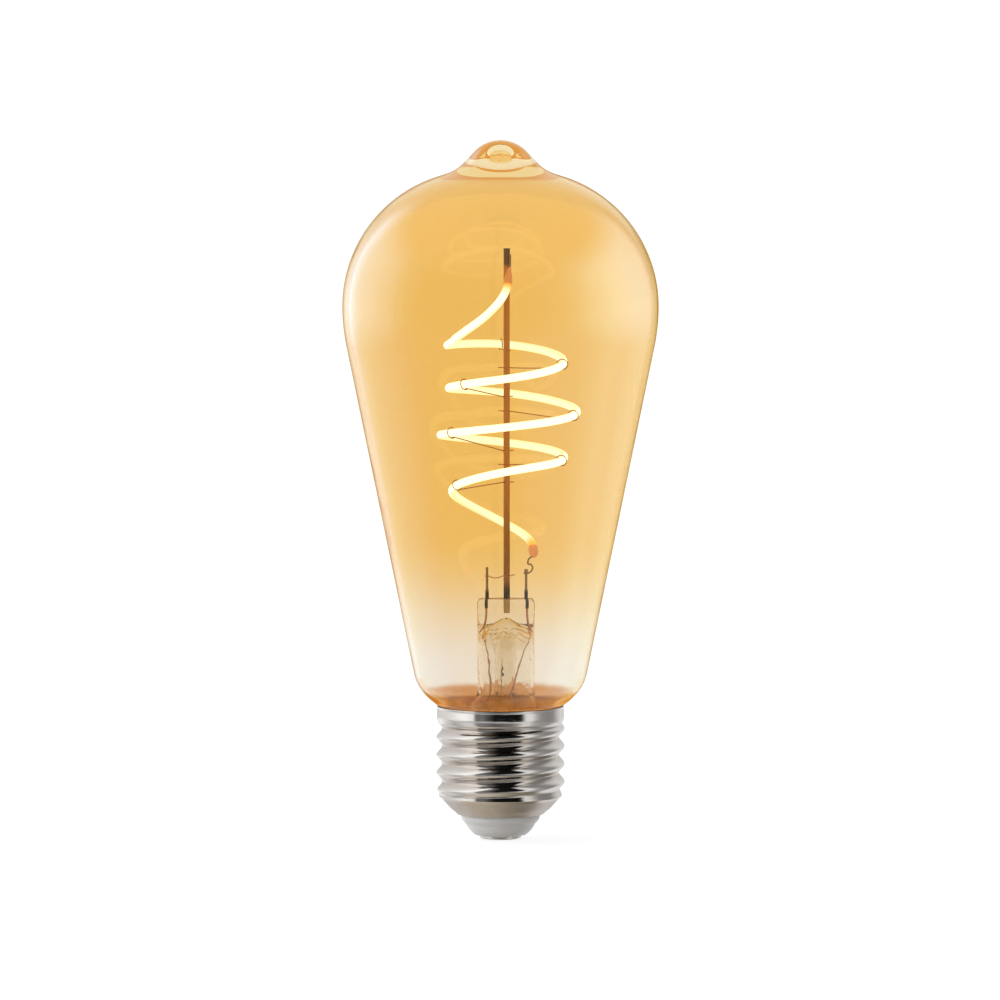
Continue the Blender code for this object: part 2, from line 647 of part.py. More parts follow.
def supply_wires():
    """The wire from the board to the shell, tucked over the sleeve's rim, and the wire from the
    fuse to the contact's eyelet."""
    shell = [(8.6, 1.1, 16.8), (8.8, 0.6, 19.0), (9.6, 0.3, 21.0), (10.9, 0.0, 22.2), (11.8, -0.3, 22.1)]
    wire("shell_wire", even(smooth(shell), 1.2), 0.2, "wire_insulation")
    contact = [(0.0, 0.0, 2.6), (0.0, 0.0, 5.0), (0.2, -1.0, 7.6), (0.2, -2.2, 9.0), (-0.2, -2.4, 11.0)]
    contact += [(-1.0, -0.8, 12.6), (-1.0, 1.2, 13.0)]
    wire("contact_wire", even(smooth(contact), 1.2), 0.25, "wire_insulation")


clear_scene()
lamp = collection("filament_lamp")
cutters = collection("cutters")
finishes = make_materials()

glass_envelope()
screw_shell()
base_insulator()
centre_contact()
capping_cement()
stem_glass()
exhaust_tube()
support_mast()
lead_wires()
jumper_wire()
led_filament()
filament_ends()
filament_ties()
driver_sleeve()
driver()
radio()
supply_wires()
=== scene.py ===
import json
import math

import bmesh
import bpy
import numpy as np
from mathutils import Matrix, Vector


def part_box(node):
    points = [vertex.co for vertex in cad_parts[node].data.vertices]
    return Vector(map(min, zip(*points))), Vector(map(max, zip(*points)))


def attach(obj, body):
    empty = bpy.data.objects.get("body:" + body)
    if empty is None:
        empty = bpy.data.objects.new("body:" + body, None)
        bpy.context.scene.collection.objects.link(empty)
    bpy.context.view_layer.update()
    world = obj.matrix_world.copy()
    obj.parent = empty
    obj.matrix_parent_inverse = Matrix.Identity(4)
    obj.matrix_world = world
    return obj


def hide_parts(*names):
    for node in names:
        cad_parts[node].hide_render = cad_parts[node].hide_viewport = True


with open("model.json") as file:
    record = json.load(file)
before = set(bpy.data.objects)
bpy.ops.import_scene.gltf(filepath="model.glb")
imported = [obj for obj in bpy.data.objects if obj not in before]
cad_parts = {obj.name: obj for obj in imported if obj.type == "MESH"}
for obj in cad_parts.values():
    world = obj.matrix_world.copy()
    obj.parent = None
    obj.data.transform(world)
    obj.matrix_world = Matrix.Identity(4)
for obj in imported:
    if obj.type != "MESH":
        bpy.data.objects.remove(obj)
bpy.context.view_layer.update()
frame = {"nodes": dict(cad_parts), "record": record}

MM = 0.001
ROOT = "root"


def span(node):
    """A CAD node's lowest and highest corners, in millimetres."""
    low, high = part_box(node)
    return np.array(low) / MM, np.array(high) / MM


def middle(node):
    """The centre of a CAD node's box, in millimetres."""
    low, high = span(node)
    return (low + high) / 2


# ---------------------------------------------------------------- shapes


def surface(name, points, ring=True, loop=False, sharp=40, attributes=None):
    """A mesh over a grid of points in millimetres: a quad between each two rows and columns. ring
    joins the last column to the first and loop the last row to the first. A row that has shrunk
    to one point closes into a pole. sharp is the angle past which an edge stays crisp."""
    rows, columns = points.shape[:2]
    index = np.arange(rows * columns).reshape(rows, columns)
    if loop:
        index = np.vstack([index, index[:1]])
    if ring:
        index = np.hstack([index, index[:, :1]])
    quads = np.stack([index[:-1, :-1], index[:-1, 1:], index[1:, 1:], index[1:, :-1]], axis=-1)
    mesh = bpy.data.meshes.new(name)
    mesh.from_pydata((points.reshape(-1, 3) * MM).tolist(), [], quads.reshape(-1, 4).tolist())
    for label, values in (attributes or {}).items():
        layer = mesh.attributes.new(label, "FLOAT", "POINT")
        layer.data.foreach_set("value", np.ascontiguousarray(values, np.float32).ravel())
    bm = bmesh.new()
    bm.from_mesh(mesh)
    bmesh.ops.remove_doubles(bm, verts=bm.verts, dist=1e-7)
    bmesh.ops.recalc_face_normals(bm, faces=bm.faces)
    bm.to_mesh(mesh)
    bm.free()
    mesh.shade_smooth()
    mesh.set_sharp_from_angle(angle=math.radians(sharp))
    made = bpy.data.objects.new(name, mesh)
    bpy.context.scene.collection.objects.link(made)
    return made


def turned_points(outline, columns, centre=(0.0, 0.0)):
    """Each outline point (r, z) carried round the axis: (r cos a + cx, r sin a + cy, z)."""
    r, z = np.asarray(outline, float).T
    a = np.linspace(0, 2 * np.pi, columns, endpoint=False)
    x = centre[0] + r[:, None] * np.cos(a)
    y = centre[1] + r[:, None] * np.sin(a)
    return np.stack([x, y, np.broadcast_to(z[:, None], x.shape)], axis=-1)


def turned(name, outline, columns=128, centre=(0.0, 0.0), loop=False, sharp=40):
    """A body of revolution whose outline runs down the outside first."""
    return surface(name, turned_points(outline, columns, centre), loop=loop, sharp=sharp)


def smooth(keys, steps=12):
    """Points on a Catmull-Rom curve through the keys: between b and c, with a before and d after,
    half of 2b + (c - a)t + (2a - 5b + 4c - d)t^2 + (3b - a - 3c + d)t^3."""
    keys = np.array(keys, float)
    around = np.vstack([2 * keys[0] - keys[1], keys, 2 * keys[-1] - keys[-2]])
    t = np.linspace(0, 1, steps, endpoint=False)[None, :, None]
    a, b, c, d = (around[i : len(around) - 3 + i, None, :] for i in range(4))
    runs = (2 * b + (c - a) * t + (2 * a - 5 * b + 4 * c - d) * t**2 + (3 * b - a - 3 * c + d) * t**3) / 2
    return np.vstack([runs.reshape(-1, keys.shape[1]), keys[-1:]])


def even(points, spacing):
    """The same line with its points spaced evenly along it."""
    lengths = np.linalg.norm(np.diff(points, axis=0), axis=1)
    along = np.concatenate([[0.0], np.cumsum(lengths)])
    wanted = np.linspace(0, along[-1], max(2, round(along[-1] / spacing) + 1))
    return np.column_stack([np.interp(wanted, along, points[:, k]) for k in range(points.shape[1])])


def arc(centre, radius, start, end, count):
    """(r, z) points on an arc, its angles in degrees from the outward direction."""
    a = np.radians(np.linspace(start, end, count))
    return np.column_stack([centre[0] + radius * np.cos(a), centre[1] + radius * np.sin(a)])


def bezier(a, b, c, d, count):
    """Points on a cubic Bezier curve, both ends included."""
    a, b, c, d = (np.array(p, float) for p in (a, b, c, d))
    t = np.linspace(0, 1, count)[:, None]
    return a * (1 - t) ** 3 + 3 * b * t * (1 - t) ** 2 + 3 * c * t**2 * (1 - t) + d * t**3


def unit(vectors):
    return vectors / np.maximum(np.linalg.norm(vectors, axis=-1, keepdims=True), 1e-12)


def sweep(name, path, radius, sides=16, reference=(0.0, 1.0, 0.0), dome=1.0, sharp=50):
    """A round bar along a path in millimetres. A ring is p + r (cos a * s + sin a * (t x s)), where
    t is the path's direction and s the reference made square to it. Each end closes in rings of
    radius r cos b, pushed out by dome * r sin b, so dome 1 is a half ball and 0 a flat end."""
    path = np.asarray(path, float)
    along = unit(np.gradient(path, axis=0))
    radius = np.broadcast_to(np.asarray(radius, float), len(path))
    reference = np.broadcast_to(np.asarray(reference, float), path.shape)
    b = np.radians([90, 75, 55, 30, 12])[:, None]
    first = path[0] - along[0] * dome * radius[0] * np.sin(b)
    last = (path[-1] + along[-1] * dome * radius[-1] * np.sin(b))[::-1]
    centres = np.vstack([first, path, last])
    radii = np.concatenate([radius[0] * np.cos(b[:, 0]), radius, radius[-1] * np.cos(b[::-1, 0])])
    rows = np.clip(np.arange(len(centres)) - len(b), 0, len(path) - 1)
    t = along[rows]
    s = unit(reference[rows] - t * np.sum(reference[rows] * t, axis=1, keepdims=True))
    a = np.linspace(0, 2 * np.pi, sides, endpoint=False)[None, :, None]
    across = np.cos(a) * s[:, None] + np.sin(a) * np.cross(t, s)[:, None]
    points = centres[:, None] + radii[:, None, None] * across
    share = np.broadcast_to((rows / (len(path) - 1))[:, None], points.shape[:2])
    facing = np.broadcast_to(np.cos(a[..., 0]), points.shape[:2])
    return surface(name, points, sharp=sharp, attributes={"along": share, "outer": facing})


# ---------------------------------------------------------------- materials


def add(tree, kind, inputs=None, **settings):
    """A shader node of this kind. Each input is a plain value or another node's output."""
    made = tree.nodes.new("ShaderNode" + kind)
    for name, value in settings.items():
        setattr(made, name, value)
    for name, value in (inputs or {}).items():
        if isinstance(value, bpy.types.NodeSocket):
            tree.links.new(value, made.inputs[name])
        else:
            made.inputs[name].default_value = value
    return made


def rgba(colour):
    return (*colour, 1.0)


def mixed(tree, factor, a, b):
    """Colour a going over to colour b as factor goes from 0 to 1."""
    made = tree.nodes.new("ShaderNodeMix")
    made.data_type = "RGBA"
    for socket, value in ((made.inputs[0], factor), (made.inputs[6], a), (made.inputs[7], b)):
        if isinstance(value, bpy.types.NodeSocket):
            tree.links.new(value, socket)
        else:
            socket.default_value = rgba(value) if isinstance(value, tuple) else value
    return made.outputs[2]


def scaled(tree, colour, factor):
    return add(tree, "VectorMath", {0: colour, "Scale": factor}, operation="SCALE").outputs[0]


def blank_group(name, inputs, outputs):
    """A shader node group with these sockets: name, kind and default for each input."""
    group = bpy.data.node_groups.new(name, "ShaderNodeTree")
    for label, kind, default in inputs:
        socket = group.interface.new_socket(label, in_out="INPUT", socket_type="NodeSocket" + kind)
        socket.default_value = default
    for label, kind in outputs:
        group.interface.new_socket(label, in_out="OUTPUT", socket_type="NodeSocket" + kind)
    return group, group.nodes.new("NodeGroupInput").outputs, group.nodes.new("NodeGroupOutput").inputs


def height_fade_group():
    """Fade goes from 0 at height Low to 1 at height High, in metres up the lamp's axis, and its
    edge wanders by Wander."""
    inputs = [("Low", "Float", 0.0), ("High", "Float", 0.1), ("Wander", "Float", 0.0)]
    group, given, result = blank_group("height_fade", inputs, [("Fade", "Float")])
    place = add(group, "TexCoord").outputs["Object"]
    height = add(group, "SeparateXYZ", {0: place}).outputs["Z"]
    noise = add(group, "TexNoise", {"Vector": place, "Scale": 90.0, "Detail": 3.0}).outputs["Fac"]
    centred = add(group, "Math", {0: noise, 1: 0.5}, operation="SUBTRACT").outputs[0]
    wander = add(group, "Math", {0: centred, 1: given["Wander"], 2: height}, operation="MULTIPLY_ADD")
    fade = add(
        group,
        "MapRange",
        {"Value": wander.outputs[0], "From Min": given["Low"], "From Max": given["High"]},
        interpolation_type="SMOOTHSTEP",
    )
    group.links.new(fade.outputs["Result"], result["Fade"])
    return group


def mottle_group():
    """Colour wanders between A and B in soft patches of the given Scale, and Mask says how far."""
    inputs = [("A", "Color", rgba((1, 1, 1))), ("B", "Color", rgba((0, 0, 0)))]
    inputs += [("Scale", "Float", 400.0), ("Spread", "Float", 0.35)]
    group, given, result = blank_group("mottle", inputs, [("Colour", "Color"), ("Mask", "Float")])
    place = add(group, "TexCoord").outputs["Object"]
    noise = add(group, "TexNoise", {"Vector": place, "Scale": given["Scale"], "Detail": 5.0})
    low = add(group, "Math", {0: 0.5, 1: given["Spread"]}, operation="SUBTRACT").outputs[0]
    high = add(group, "Math", {0: 0.5, 1: given["Spread"]}, operation="ADD").outputs[0]
    mask = add(group, "MapRange", {"Value": noise.outputs["Fac"], "From Min": low, "From Max": high})
    group.links.new(mask.outputs["Result"], result["Mask"])
    group.links.new(mixed(group, mask.outputs["Result"], given["A"], given["B"]), result["Colour"])
    return group


def drawn_lines_group():
    """Fine lines left by drawing or rolling. They run along the axis that Stretch makes short:
    Height is their relief and Mask a soft streak pattern."""
    inputs = [("Stretch", "Vector", (1.0, 1.0, 0.02)), ("Scale", "Float", 3000.0)]
    outputs = [("Height", "Float"), ("Mask", "Float")]
    group, given, result = blank_group("drawn_lines", inputs, outputs)
    place = add(group, "TexCoord").outputs["Object"]
    squeezed = add(group, "VectorMath", {0: place, 1: given["Stretch"]}, operation="MULTIPLY").outputs[0]
    fine = add(group, "TexNoise", {"Vector": squeezed, "Scale": given["Scale"], "Detail": 4.0})
    wide = add(group, "Math", {0: given["Scale"], 1: 0.25}, operation="MULTIPLY").outputs[0]
    broad = add(group, "TexNoise", {"Vector": squeezed, "Scale": wide, "Detail": 2.0})
    group.links.new(fine.outputs["Fac"], result["Height"])
    group.links.new(broad.outputs["Fac"], result["Mask"])
    return group


HEIGHT_FADE = height_fade_group()
MOTTLE = mottle_group()
DRAWN_LINES = drawn_lines_group()


def use(tree, group, **inputs):
    """Places a node group in a material with its own values."""
    made = tree.nodes.new("ShaderNodeGroup")
    made.node_tree = group
    for name, value in inputs.items():
        if isinstance(value, bpy.types.NodeSocket):
            tree.links.new(value, made.inputs[name])
        else:
            made.inputs[name].default_value = value
    return made.outputs


def principled(name, **constants):
    """A new material, its node tree and its Principled node, with these sockets set."""
    material = bpy.data.materials.new(name)
    material.use_nodes = True
    tree = material.node_tree
    shader = tree.nodes["Principled BSDF"]
    for label, value in constants.items():
        shader.inputs[label.replace("_", " ")].default_value = value
    return material, tree, shader


def relief(tree, shader, height, distance, strength=1.0):
    """Feeds a height into the shader's Normal, its full relief this many metres."""
    bump = add(tree, "Bump", {"Height": height, "Distance": distance, "Strength": strength})
    tree.links.new(bump.outputs["Normal"], shader.inputs["Normal"])


def smooth_range(tree, value, start, stop):
    """A value's eased way from start, 0, to stop, 1."""
    ends = {"Value": value, "From Min": start, "From Max": stop}
    return add(tree, "MapRange", ends, interpolation_type="SMOOTHSTEP").outputs["Result"]


def ranged(tree, value, low, high):
    """A mask turned into a range of values."""
    return add(tree, "MapRange", {"Value": value, "To Min": low, "To Max": high}).outputs["Result"]


def let_lamplight_through(tree, shader, tint):
    """Shadow rays cross this glass as a plain tint, so that what stands inside it is lit. So do
    rays already mirrored twice, which would otherwise run on and on inside the glass, and rays
    from a mirror outside it, to which the lamp looks dark."""
    path = add(tree, "LightPath").outputs
    trapped = add(tree, "Math", {0: path["Glossy Depth"], 1: 1.5}, operation="GREATER_THAN").outputs[0]
    mirrored = add(tree, "Math", {0: path["Glossy Depth"], 1: 0.5}, operation="GREATER_THAN").outputs[0]
    outside = add(tree, "Math", {0: path["Transmission Depth"], 1: 0.5}, operation="LESS_THAN").outputs[0]
    from_cap = add(tree, "Math", {0: mirrored, 1: outside}, operation="MULTIPLY").outputs[0]
    either = add(tree, "Math", {0: trapped, 1: path["Is Shadow Ray"]}, operation="MAXIMUM").outputs[0]
    straight = add(tree, "Math", {0: either, 1: from_cap}, operation="MAXIMUM").outputs[0]
    clear = add(tree, "BsdfTransparent", {"Color": mixed(tree, from_cap, tint, (0.5, 0.45, 0.4))})
    mix = add(tree, "MixShader", {0: straight})
    tree.links.new(shader.outputs[0], mix.inputs[1])
    tree.links.new(clear.outputs[0], mix.inputs[2])
    tree.links.new(mix.outputs[0], tree.nodes["Material Output"].inputs["Surface"])


AMBER = (0.916, 0.695, 0.335)
CLEAR = (0.91, 0.85, 0.77)
TIP_GOLD = (0.93, 0.775, 0.47)
NECK_BROWN = (0.42, 0.23, 0.10)


def amber_glass():
    """Clear glass with an amber lustre that is thinner on the tip and fades out towards the neck,
    and a brown seal there that carries a painted glow, standing in for lamplight in the cement."""
    material, tree, shader = principled(
        "amber_glass", Roughness=0.0, IOR=1.47, Transmission_Weight=1.0
    )
    lustre = use(tree, HEIGHT_FADE, Low=0.033, High=0.063, Wander=0.004)["Fade"]
    seal = use(tree, HEIGHT_FADE, Low=0.0306, High=0.0294, Wander=0.002)["Fade"]
    tip = use(tree, HEIGHT_FADE, Low=0.1340, High=0.1385)["Fade"]
    colour = mixed(tree, tip, mixed(tree, lustre, CLEAR, AMBER), TIP_GOLD)
    colour = mixed(tree, seal, colour, NECK_BROWN)
    tree.links.new(colour, shader.inputs["Base Color"])
    # painted glow: a mottled warm emission over the seal band, standing in for lamplight scattered in the
    # cement
    seal_painted_glow = use(
        tree, MOTTLE, A=rgba((0.19, 0.08, 0.018)), B=rgba((0.10, 0.042, 0.010)), Scale=420.0, Spread=0.2
    )["Colour"]
    tree.links.new(mixed(tree, seal, (0.0, 0.0, 0.0), seal_painted_glow), shader.inputs["Emission Color"])
    shader.inputs["Emission Strength"].default_value = 1.0
    waves = add(tree, "TexNoise", {"Vector": add(tree, "TexCoord").outputs["Object"], "Scale": 45.0})
    relief(tree, shader, waves.outputs["Fac"], 0.0002)
    let_lamplight_through(tree, shader, colour)
    return material


def clear_glass():
    material, tree, shader = principled(
        "clear_glass", Roughness=0.0, IOR=1.54, Transmission_Weight=1.0
    )
    colour = use(tree, MOTTLE, A=rgba((0.97, 0.95, 0.90)), B=rgba((0.93, 0.90, 0.82)), Scale=250.0)
    tree.links.new(colour["Colour"], shader.inputs["Base Color"])
    waves = add(tree, "TexNoise", {"Vector": add(tree, "TexCoord").outputs["Object"], "Scale": 260.0})
    relief(tree, shader, waves.outputs["Fac"], 0.00025)
    let_lamplight_through(tree, shader, (0.96, 0.93, 0.86))
    return material


def nickel_plate():
    """Bright plate: lighter on the crests, darker and warmer down in the thread, and satin
    on the foot below it."""
    material, tree, shader = principled("nickel_plate", Metallic=1.0)
    place = add(tree, "TexCoord").outputs["Object"]
    parts = add(tree, "SeparateXYZ", {0: place}).outputs
    flat = add(tree, "CombineXYZ", {0: parts["X"], 1: parts["Y"]}).outputs[0]
    radius = add(tree, "VectorMath", {0: flat}, operation="LENGTH").outputs["Value"]
    crest = add(
        tree, "MapRange", {"Value": radius, "From Min": 0.0119, "From Max": 0.0129}
    ).outputs["Result"]
    # darker, warmer colour towards the thread's roots and lighter at the crests, set by distance from the
    # axis
    root_tone = use(tree, MOTTLE, A=rgba((0.66, 0.61, 0.56)), B=rgba((0.54, 0.48, 0.43)), Scale=500.0)
    tree.links.new(
        mixed(tree, crest, root_tone["Colour"], (0.78, 0.745, 0.71)), shader.inputs["Base Color"]
    )
    lines = use(tree, DRAWN_LINES, Stretch=(0.05, 0.05, 1.0), Scale=5000.0)
    satin = smooth_range(tree, parts["Z"], 0.0084, 0.0078)
    polish = ranged(tree, lines["Mask"], 0.03, 0.11)
    rough = add(tree, "Math", {0: satin, 1: 0.3, 2: polish}, operation="MULTIPLY_ADD").outputs[0]
    tree.links.new(rough, shader.inputs["Roughness"])
    relief(tree, shader, lines["Height"], 0.000012)
    return material


def drawn_metal(name, bright, dull, roughness, *stretches):
    """Drawn wire or rod with lengthwise lines. Each stretch is (dark, bare, colour): darkened by
    heat up to one height and bare again from the other, in metres."""
    material, tree, shader = principled(name, Metallic=1.0)
    lines = use(tree, DRAWN_LINES, Stretch=(1.0, 1.0, 0.03), Scale=4000.0)
    colour = mixed(tree, lines["Mask"], bright, dull)
    for dark, bare, stain in stretches:
        fade = use(tree, HEIGHT_FADE, Low=dark, High=bare, Wander=0.001)["Fade"]
        colour = mixed(tree, fade, stain, colour)
    tree.links.new(colour, shader.inputs["Base Color"])
    tree.links.new(
        ranged(tree, lines["Height"], roughness - 0.08, roughness + 0.12), shader.inputs["Roughness"]
    )
    relief(tree, shader, lines["Height"], 0.00001)
    return material


def glowing_phosphor():
    """The lit filament. It burns nearly white over the emitters on its outer side and a little
    less so on its inner side, is creamy between the two, and goes over to amber at each end."""
    material, tree, shader = principled("glowing_phosphor", Roughness=0.45)
    outer = add(tree, "Attribute", attribute_name="outer").outputs["Fac"]
    along = add(tree, "Attribute", attribute_name="along").outputs["Fac"]
    front = smooth_range(tree, outer, -0.1, 0.75)
    back = smooth_range(tree, outer, -0.35, -1.0)
    emitters = add(tree, "Math", {0: along, 1: 1900.0}, operation="MULTIPLY").outputs[0]
    ripple = add(tree, "Math", {0: emitters}, operation="SINE").outputs[0]
    dots = add(tree, "MapRange", {"Value": ripple, "From Min": -1.0, "To Min": 0.94}).outputs["Result"]
    from_middle = add(tree, "Math", {0: along, 1: 0.5}, operation="SUBTRACT").outputs[0]
    off = add(tree, "Math", {0: from_middle}, operation="ABSOLUTE").outputs[0]
    end = smooth_range(tree, off, 0.488, 0.5)
    lit = mixed(tree, back, (0.40, 0.46, 0.42), (0.44, 0.52, 0.62))
    lit = mixed(tree, front, lit, (0.80, 0.90, 1.0))
    lit = mixed(tree, end, lit, (0.60, 0.22, 0.03))
    tree.links.new(scaled(tree, lit, dots), shader.inputs["Emission Color"])
    shader.inputs["Emission Strength"].default_value = 3.0
    tree.links.new(mixed(tree, front, (0.95, 0.78, 0.30), (1.0, 0.88, 0.50)), shader.inputs["Base Color"])
    return material


def orange_silicone():
    """The translucent end sleeves, lit from within by the filament's last emitters."""
    material, tree, shader = principled("orange_silicone", Roughness=0.35)
    glow = use(tree, MOTTLE, A=rgba((0.98, 0.50, 0.26)), B=rgba((0.86, 0.36, 0.15)), Scale=900.0)["Colour"]
    tree.links.new(glow, shader.inputs["Base Color"])
    tree.links.new(glow, shader.inputs["Emission Color"])
    shader.inputs["Emission Strength"].default_value = 0.75
    return material


def mottled(name, a, b, scale, roughness, bump=0.0, metallic=0.0, coat=0.0):
    """Moulded, pressed or cast stuff: two close colours in soft patches, with a little relief."""
    material, tree, shader = principled(name, Metallic=metallic, Coat_Weight=coat)
    patch = use(tree, MOTTLE, A=rgba(a), B=rgba(b), Scale=scale)
    tree.links.new(patch["Colour"], shader.inputs["Base Color"])
    gloss = ranged(tree, patch["Mask"], roughness - 0.05, roughness + 0.08)
    tree.links.new(gloss, shader.inputs["Roughness"])
    if bump:
        relief(tree, shader, patch["Mask"], bump)
    return material


# Brown up to the filament, dark above the press, tan where the press grips it and dark at its head
MAST_STAINS = (
    (0.0560, 0.0760, (0.34, 0.20, 0.15)),
    (0.0505, 0.0530, (0.06, 0.065, 0.07)),
    (0.0484, 0.0492, (0.50, 0.40, 0.28)),
    (0.1172, 0.1160, (0.13, 0.075, 0.05)),
)

FINISHES = {
    "bulb_glass": amber_glass(),
    "stem_glass": clear_glass(),
    "nickel_plate": nickel_plate(),
    "contact_metal": mottled("contact_metal", (0.80, 0.78, 0.75), (0.70, 0.68, 0.65), 900, 0.28, 1e-5, 1.0),
    "white_insulator": mottled(
        "white_insulator", (0.80, 0.80, 0.80), (0.74, 0.74, 0.74), 700, 0.35, 1e-5, 0.0, 0.3
    ),
    "cement": mottled("cement", (0.50, 0.27, 0.12), (0.36, 0.18, 0.08), 1500, 0.85, 8e-5),
    "mast_metal": drawn_metal(
        "mast_metal", (0.74, 0.45, 0.30), (0.44, 0.24, 0.15), 0.28, *MAST_STAINS
    ),
    "nickel_wire": drawn_metal(
        "nickel_wire", (0.42, 0.36, 0.30), (0.26, 0.21, 0.17), 0.35, (0.0500, 0.0510, (0.06, 0.055, 0.05)),
    ),
    "copper_wire": drawn_metal("copper_wire", (0.72, 0.42, 0.28), (0.50, 0.26, 0.16), 0.32),
    "phosphor": glowing_phosphor(),
    "orange_silicone": orange_silicone(),
    "sleeve_film": mottled("sleeve_film", (0.85, 0.85, 0.82), (0.78, 0.78, 0.75), 300, 0.5, 1e-5),
    "circuit_board": mottled(
        "circuit_board", (0.05, 0.22, 0.10), (0.07, 0.28, 0.14), 1200, 0.4, 2e-5, 0.0, 0.4
    ),
    "black_epoxy": mottled("black_epoxy", (0.030, 0.030, 0.032), (0.045, 0.045, 0.047), 3000, 0.55, 1e-5),
    "can_aluminium": drawn_metal("can_aluminium", (0.80, 0.81, 0.83), (0.70, 0.71, 0.73), 0.30),
    "ferrite": mottled("ferrite", (0.16, 0.15, 0.15), (0.11, 0.10, 0.10), 2500, 0.7, 3e-5),
    "tinned_steel": mottled("tinned_steel", (0.72, 0.72, 0.70), (0.62, 0.62, 0.61), 500, 0.3, 1e-5, 1.0),
    "resistor_enamel": mottled("resistor_enamel", (0.10, 0.36, 0.50), (0.08, 0.30, 0.44), 1500, 0.35, 1e-5),
    "wire_insulation": mottled("wire_insulation", (0.70, 0.10, 0.07), (0.58, 0.08, 0.05), 1500, 0.45, 1e-5),
}


def finish(piece, slot, *nodes):
    """Gives a new piece its material, its slot and its body, and hides the CAD nodes it stands for."""
    piece.data.materials.append(FINISHES[slot])
    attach(piece, ROOT)
    if nodes:
        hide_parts(*nodes)
    return piece


# ---------------------------------------------------------------- bulb

BULB_LOW, BULB_HIGH = span("glass_envelope")
BULB_TOP = BULB_HIGH[2]
BULB_RADIUS = BULB_HIGH[0]
NECK_BOTTOM = BULB_LOW[2]
WALL = 0.85
WIDEST_HEIGHT = 108.3
SHOULDER_RADIUS = 27.5
SHOULDER_TURN = 72
BELLY_RADIUS = 40.0
CONE_HALF_ANGLE = 11.6
NECK_ROLL_HEIGHT = 33.8
LIP = (13.2, 27.45)
LIP_TURN = 37
NECK_RADIUS = 12.1
NECK_TOP = 26.6
TIP_RADIUS = 7.2
TIP_TURN = 42
HOLLOW_RADIUS = 2.3
HOLLOW_TOP = 139.3


def heading(turn, length):
    """A step of this length whose direction is turned this many degrees down from level outwards."""
    return np.array([math.cos(math.radians(turn)), -math.sin(math.radians(turn))]) * length


def bulb_outline(inset):
    """The bulb from its shoulder down to the neck's edge, moved inwards by inset: a round
    shoulder, a shallow belly, a straight cone, a roll under to the lip and a bend into the neck."""
    shoulder_centre = (BULB_RADIUS - SHOULDER_RADIUS, WIDEST_HEIGHT)
    shoulder = arc(shoulder_centre, SHOULDER_RADIUS - inset, SHOULDER_TURN, 0, 48)
    belly_centre = (BULB_RADIUS - BELLY_RADIUS, WIDEST_HEIGHT)
    belly = arc(belly_centre, BELLY_RADIUS - inset, 0, -CONE_HALF_ANGLE, 14)[1:]
    slope = math.tan(math.radians(CONE_HALF_ANGLE))
    roll_radius = belly[-1, 0] - (belly[-1, 1] - NECK_ROLL_HEIGHT) * slope
    cone = np.linspace(belly[-1], (roll_radius, NECK_ROLL_HEIGHT), 40)[1:]
    lip = np.array(LIP) - heading(90 - LIP_TURN, inset)
    down = cone[-1] + heading(90 + CONE_HALF_ANGLE, 3.2)
    roll = bezier(cone[-1], down, lip - heading(180 - LIP_TURN, 2.25), lip, 28)[1:]
    neck = NECK_RADIUS - inset
    under = lip + heading(180 - LIP_TURN, 0.55)
    bend = bezier(lip, under, (neck + 0.05, NECK_TOP + 0.5), (neck, NECK_TOP), 12)[1:]
    return np.vstack([shoulder, belly, cone, roll, bend, [(neck, NECK_BOTTOM)]])


def bulb_glass():
    """The bulb: an outline down the outside from the tip's pole, round the neck's edge and up
    the inside to the tip's narrow hollow, all turned about the axis."""
    tip = arc((0.0, BULB_TOP - TIP_RADIUS), TIP_RADIUS, 90, TIP_TURN, 20)
    tip[0, 0] = 0.0
    outside = bulb_outline(0.0)
    flank = tip[-1] + heading(90 - TIP_TURN, 5.0)
    fillet = bezier(tip[-1], flank, outside[0] - heading(90 - SHOULDER_TURN, 4.2), outside[0], 18)[1:-1]
    inside = bulb_outline(WALL)[::-1]
    crown = inside[-1] - heading(90 - SHOULDER_TURN, 4.5)
    mouth = (HOLLOW_RADIUS, HOLLOW_TOP - 2.1)
    throat = bezier(inside[-1], crown, (HOLLOW_RADIUS + 0.1, mouth[1] - 1.5), mouth, 16)[1:]
    hollow = bezier(mouth, (HOLLOW_RADIUS, HOLLOW_TOP - 0.7), (1.3, HOLLOW_TOP), (0.0, HOLLOW_TOP), 12)[1:]
    outline = np.vstack([tip, fillet, outside, inside, throat, hollow])
    finish(turned("bulb_glass", outline, 224, sharp=60), "bulb_glass", "glass_envelope")


# ---------------------------------------------------------------- cap

SHELL_LOW, SHELL_HIGH = span("screw_shell")
COLLAR_TOP = SHELL_HIGH[2]
SHELL_FOOT = SHELL_LOW[2]
PITCH = 25.4 / 7
THREAD_MEAN = 12.45
THREAD_DEPTH = 1.1
THREAD_TOP = 24.0
THREAD_BOTTOM = 8.6
THREAD_PHASE = 15.19
COLLAR_RADIUS = 12.9
COLLAR_FOOT = 23.0
SHELL_WALL = 0.28


def thread_wave(height, angle):
    """How far the rolled thread stands out: a right-handed cosine wave that dies away at the
    collar and at the foot."""
    w = 2 * np.pi * ((height - THREAD_PHASE) / PITCH - angle / (2 * np.pi))
    fade_in = np.clip((height - THREAD_BOTTOM) / (0.6 * PITCH), 0, 1)
    fade_out = np.clip((THREAD_TOP - height) / (0.4 * PITCH), 0, 1)
    ease = (3 - 2 * fade_in) * fade_in**2 * (3 - 2 * fade_out) * fade_out**2
    return THREAD_DEPTH / 2 * np.cos(w) * ease


